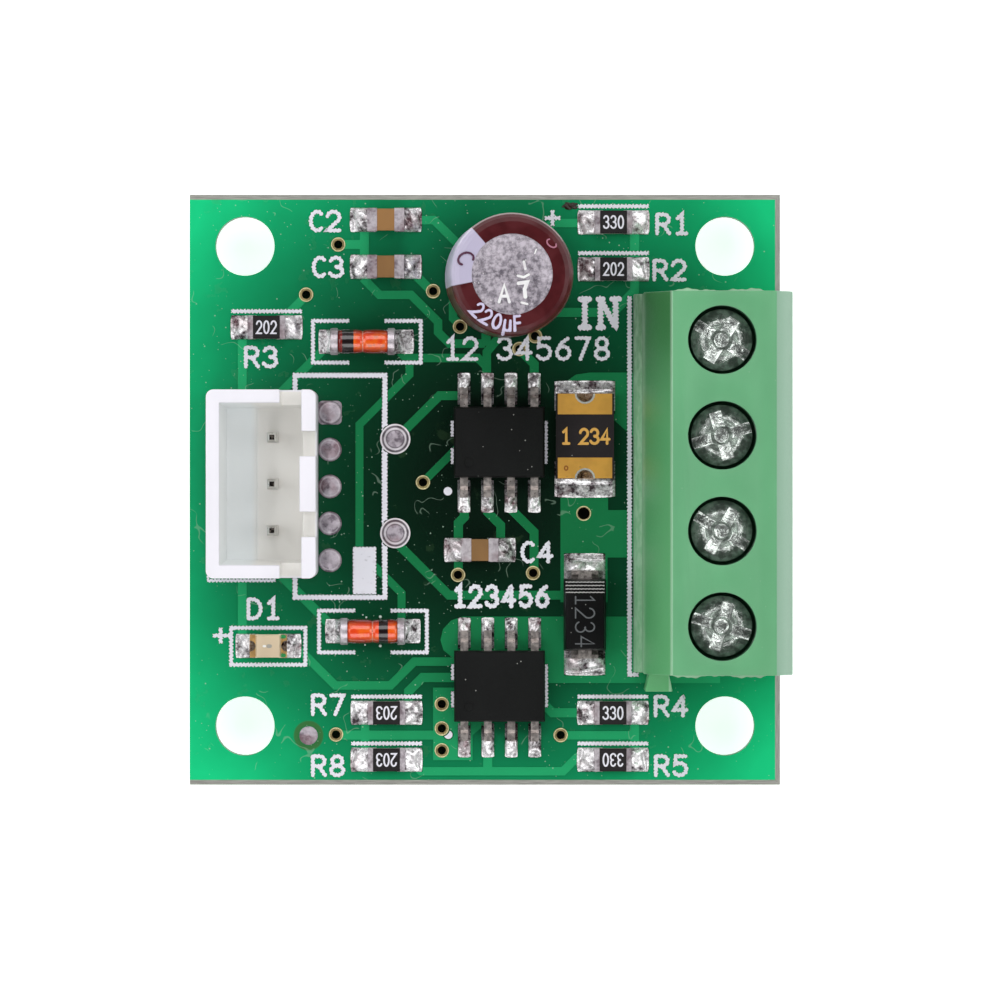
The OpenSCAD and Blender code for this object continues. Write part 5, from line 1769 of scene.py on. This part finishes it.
@dataclass
class SmallChips:
    """The two eight-lead chips, the rectifier and the fuse."""

    frame: Frame
    lines: int = 4
    line_start: float = 0.18
    line_pitch: float = 0.185
    line_inset: float = 0.12
    notch_r: float = 0.5
    pinhole: tuple[float, float] = (0.45, 0.55)
    amber: Colour = srgb(150, 84, 24)

    def build(self) -> None:
        """Eases the bodies and adds the plain markings."""
        for i in (1, 2):
            self.frame.ease(f"chip_{i}_body", EPOXY, 0.05)
            self.frame.dress(TIN, f"chip_{i}_leads")
        self.frame.ease("rectifier_body", BLACK, 0.05)
        self.frame.dress(TIN, "rectifier_leads")
        self.frame.dress(FUSE, "fuse_body")
        self.frame.dress(GOLD, "fuse_terminals")
        self.mark("fuse_body", "1 234", Lettering(0.78, 0.15, 0.86, 0.22), TEXT_GOLD, 0, (0.04, -0.02))
        self.mark("rectifier_body", "1234", Lettering(1.02, 0.08, 0.85, 0.24), TEXT_GREY, 270, (0.0, -0.32))
        self.cathode()
        self.notches()

    def mark(self, node: str, text: str, letters: Lettering, finish: Finish, turn: float,
             shift: tuple[float, float]) -> None:
        """Writes a number on top of a body.

        Args:
            node: The body.
            text: The characters.
            letters: Their size and weight.
            finish: The ink.
            turn: Turn in degrees.
            shift: Offset from the body's middle.
        """
        at, high = centre_of(node), corners_of(node)[1]
        skin = Skin()
        letters.write(skin, text, flat_at(at[0] + shift[0], at[1] + shift[1], high[2] - 0.004, turn), 0.014)
        skin.piece(node.replace("body", "number"), finish, smooth=False)

    def cathode(self) -> None:
        """Cuts the four bright lines across the rectifier's cathode end."""
        low, high = corners_of("rectifier_body")
        skin = Skin()
        for k in range(self.lines):
            y = high[1] - self.line_start - self.line_pitch * k
            path = np.array([[low[0] + self.line_inset, y], [high[0] - self.line_inset, y]])
            line = Lettering(1.0, 0.055, ripple=0.3).ribbon(path, 0.012)
            skin.tube(flat_at(0, 0, high[2] - 0.004)(line))
        skin.piece("rectifier_lines", LINES, smooth=False)

    def notches(self) -> None:
        """Rims the half-round notches of the fuse, and adds the pinhole mark of its first end."""
        low, high = corners_of("fuse_terminals")
        at = centre_of("fuse_terminals")
        skin = Skin()
        for y, start in ((high[1], 180), (low[1], 0)):
            path = np.array(arc(at[0], y, self.notch_r, self.notch_r, start + 4, start + 176, 17))
            skin.tube(flat_at(0, 0, high[2] - 0.01)(Lettering(1.0, 0.1, ripple=0.1).ribbon(path, 0.025)))
        skin.piece("fuse_notch_rims", NOTCH, smooth=False)
        spot = Skin()
        path = np.array(arc(low[0] + self.pinhole[0], low[1] + self.pinhole[1], 0.09, 0.11, 0, 330, 14))
        spot.tube(flat_at(0, 0, high[2] - 0.01)(Lettering(1.0, 0.07).ribbon(path, 0.02)))
        spot.piece("fuse_spot", replace(GOLD, name="fuse_amber", colour=self.amber), smooth=False)


@dataclass
class GlassDiodes:
    """The two glass diodes: beads of orange glass with painted bands."""

    frame: Frame
    glass_r: float = 0.66
    waist: float = 0.56
    black: Colour = srgb(30, 18, 20)
    red: Colour = srgb(120, 18, 12)
    beads: tuple[tuple[float, float, float], ...] = (
        (-5.67, -7.09, 0.085),
        (-5.67, -8.65, 0.085),
        (-6.43, -7.12, 0.06),
        (-6.5, -8.6, 0.05),
        (-6.62, -6.98, 0.04),
    )

    def build(self) -> None:
        """Dresses the caps and puts a waisted bead in each glass tube's place."""
        paints = {1: ((-1.12, -0.49, self.black), (-2.0, -1.12, self.red)), 2: ((0.34, 0.84, self.black),)}
        for i, bands in paints.items():
            self.frame.dress(CHIP_END, f"diode_{i}_caps")
            low, high = corners_of(f"diode_{i}_glass")
            at = (low + high) / 2
            finish = replace(GLASS, name=f"diode_{i}_orange", at=tuple(at), radius=self.glass_r, bands=bands)
            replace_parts(self.bead(i, at, (high - low)[0] / 2, finish), f"diode_{i}_glass")
        self.frame.dress(SILICON, "diode_dies")
        self.dots()

    def bead(self, i: int, at: np.ndarray, half: float, finish: Finish) -> bpy.types.Object:
        """Spins one glass: two lobes that meet in a slight waist over the die.

        Args:
            i: The diode's number.
            at: Middle of the glass.
            half: Half its length.
            finish: Its finish.

        Returns:
            The new object.
        """
        t = np.linspace(-1, 1, 41)
        lobe = np.sqrt(np.clip(1 - (2 * np.abs(t) - 1) ** 2, 0, 1))
        radius = self.waist + (self.glass_r - self.waist) * lobe ** 0.7
        profile = np.stack([radius, t * half], 1)
        skin = Skin()
        skin.spin(profile, 48, lambda p: np.stack([p[..., 2], p[..., 0], p[..., 1]], -1) + at)
        return skin.piece(f"diode_{i}_bead", finish)

    def dots(self) -> None:
        """Scatters the small clear flux beads beside the lower diode; their near-white colour is a painted
        highlight.
        """
        turn = np.linspace(0.01, np.pi - 0.01, 9)
        skin = Skin()
        for x, y, r in self.beads:
            profile = np.stack([r * np.sin(turn), -r * np.cos(turn)], 1)
            skin.spin(profile, 16, lambda p, x=x, y=y, r=r: p + (x, y, BOARD_TOP + r * 0.7))
        skin.piece("flux_beads", HIGHLIGHT_BEAD)


@dataclass
class ChipParts:
    """Chip resistors, chip capacitors and the indicator."""

    frame: Frame
    codes: tuple[tuple[str, float], ...] = (
        ("202", 0), ("330", 0), ("202", 0), ("330", 0), ("330", 180), ("203", 180), ("203", 180)
    )

    def build(self) -> None:
        """Dresses the parts and writes each resistor's value code."""
        letters = Lettering(0.66, 0.09, 0.66, 0.2)
        for i, (code, turn) in enumerate(self.codes, 1):
            self.frame.dress(GLAZE, f"resistor_{i}_body")
            self.frame.dress(CHIP_END, f"resistor_{i}_ends")
            at, high = centre_of(f"resistor_{i}_body"), corners_of(f"resistor_{i}_body")[1]
            skin = Skin()
            letters.write(skin, code, flat_at(at[0], at[1], high[2] - 0.004, turn), 0.012)
            skin.piece(f"resistor_{i}_code", INK, smooth=False)
        for i in (1, 2, 3):
            self.frame.dress(CERAMIC, f"ceramic_{i}_body")
            self.frame.dress(CHIP_END, f"ceramic_{i}_ends")
        self.indicator()

    def indicator(self) -> None:
        """Dresses the indicator and adds its die, bond and green polarity marks."""
        self.frame.dress(LED_BASE, "led_base")
        self.frame.dress(LED_LENS, "led_lens")
        self.frame.dress(LED_GOLD, "led_terminals")
        high = corners_of("led_lens")[1]
        at, base = centre_of("led_lens"), corners_of("led_base")[1]
        for name, finish, x, wide in (("led_die", LED_SPOT, -0.2, 0.13), ("led_bond", LED_BOND, 0.06, 0.2)):
            skin = Skin()
            path = np.array([[at[0] + x - wide / 4, at[1]], [at[0] + x + wide / 4, at[1]]])
            skin.tube(flat_at(0, 0, high[2] - 0.01)(Lettering(1.0, wide).ribbon(path, 0.02)))
            skin.piece(name, finish, smooth=False)
        skin = Skin()
        for side in (-1, 1):
            y = at[1] + side * (base[1] - at[1] - 0.12)
            path = np.array([[high[0] + 0.04, y], [high[0] + 0.16, y]])
            skin.tube(flat_at(0, 0, base[2] - 0.005)(Lettering(1.0, 0.2).ribbon(path, 0.02)))
        skin.piece("led_marks", LED_MARK, smooth=False)


class Side(Enum):
    """Sides of the set that hold a soft light."""

    LEFT = (-0.45, 0.08, 0.6)
    RIGHT = (0.45, 0.08, 0.6)
    BACK = (0.0, 0.48, 0.58)
    FRONT = (0.0, -0.48, 0.58)


@dataclass
class Studio:
    """Camera, pale floor and soft lights."""

    eye: tuple[float, float, float] = (0.30, -0.24, 501.6)
    lens: float = 338.65
    floor: float = -1.8
    power: float = 1.45
    size: float = 0.45
    tent: float = 0.34
    tones: tuple[tuple[float, float], ...] = ((0.0, 0.75), (0.5, 0.9), (0.88, 1.0), (0.95, 0.55), (0.985, 0.12))
    half: float = 3.0
    glow: float = 0.7

    def build(self) -> None:
        """Sets the stage."""
        scene = bpy.context.scene
        scene.view_settings.view_transform = "Standard"
        camera = bpy.data.cameras.new("camera")
        camera.lens = self.lens
        camera.sensor_width = 36
        camera.clip_start = 0.01
        camera.clip_end = 20
        eye = bpy.data.objects.new("camera", camera)
        eye.location = [c * MM for c in self.eye]
        scene.collection.objects.link(eye)
        scene.camera = eye
        self.lights(scene)
        self.sky(scene)
        self.ground(scene)

    def lights(self, scene: bpy.types.Scene) -> None:
        """Puts a soft light on each side, aimed at the board.

        Args:
            scene: The scene.
        """
        for side in Side:
            lamp = bpy.data.lights.new("soft_" + side.name.lower(), "AREA")
            lamp.energy = self.power
            lamp.size = self.size
            made = bpy.data.objects.new(lamp.name, lamp)
            made.location = side.value
            aim = -made.location
            made.rotation_euler = aim.to_track_quat("-Z", "Y").to_euler()
            scene.collection.objects.link(made)

    def sky(self, scene: bpy.types.Scene) -> None:
        """Makes a bright tent with a darker hole round the camera.

        Args:
            scene: The scene.
        """
        scene.world = bpy.data.worlds.new("tent")
        graph = Graph(scene.world, "Background")
        up = graph.split(graph.node("ShaderNodeTexCoord", out="Generated"))[2]
        stops = [(place, (tone, tone, tone)) for place, tone in self.tones]
        graph.feed(graph.shader.inputs["Color"], graph.node("ShaderNodeValToRGB", {"stops": stops}, {0: up}))
        graph.feed(graph.shader.inputs["Strength"], self.tent)

    def ground(self, scene: bpy.types.Scene) -> None:
        """Lays the floor under the pins.

        Args:
            scene: The scene.
        """
        mesh = bpy.data.meshes.new("floor")
        half, z = self.half, self.floor * MM
        corners = [(-half, -half, z), (half, -half, z), (half, half, z), (-half, half, z)]
        mesh.from_pydata(corners, [], [(0, 1, 2, 3)])
        floor = bpy.data.objects.new("floor", mesh)
        scene.collection.objects.link(floor)
        graph = Graph(bpy.data.materials.new("floor_white"))
        graph.feed(graph.shader.inputs["Base Color"], (0.95, 0.95, 0.95))
        graph.feed(graph.shader.inputs["Roughness"], 0.9)
        graph.feed(graph.shader.inputs["Emission Color"], (1.0, 1.0, 1.0))
        graph.feed(graph.shader.inputs["Emission Strength"], self.glow)
        mesh.materials.append(graph.owner)


def main() -> None:
    """Builds the set and every sub-assembly."""
    logging.basicConfig(level=logging.INFO, format="%(name)s: %(message)s")
    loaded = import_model()
    frame = Frame(loaded["nodes"])
    Studio().build()
    for part in (Board, SolderJoints, ScrewTerminal, PlugHeader, CanCapacitor, SmallChips, GlassDiodes,
                 ChipParts):
        part(frame).build()


if __name__ == "__main__":
    main()
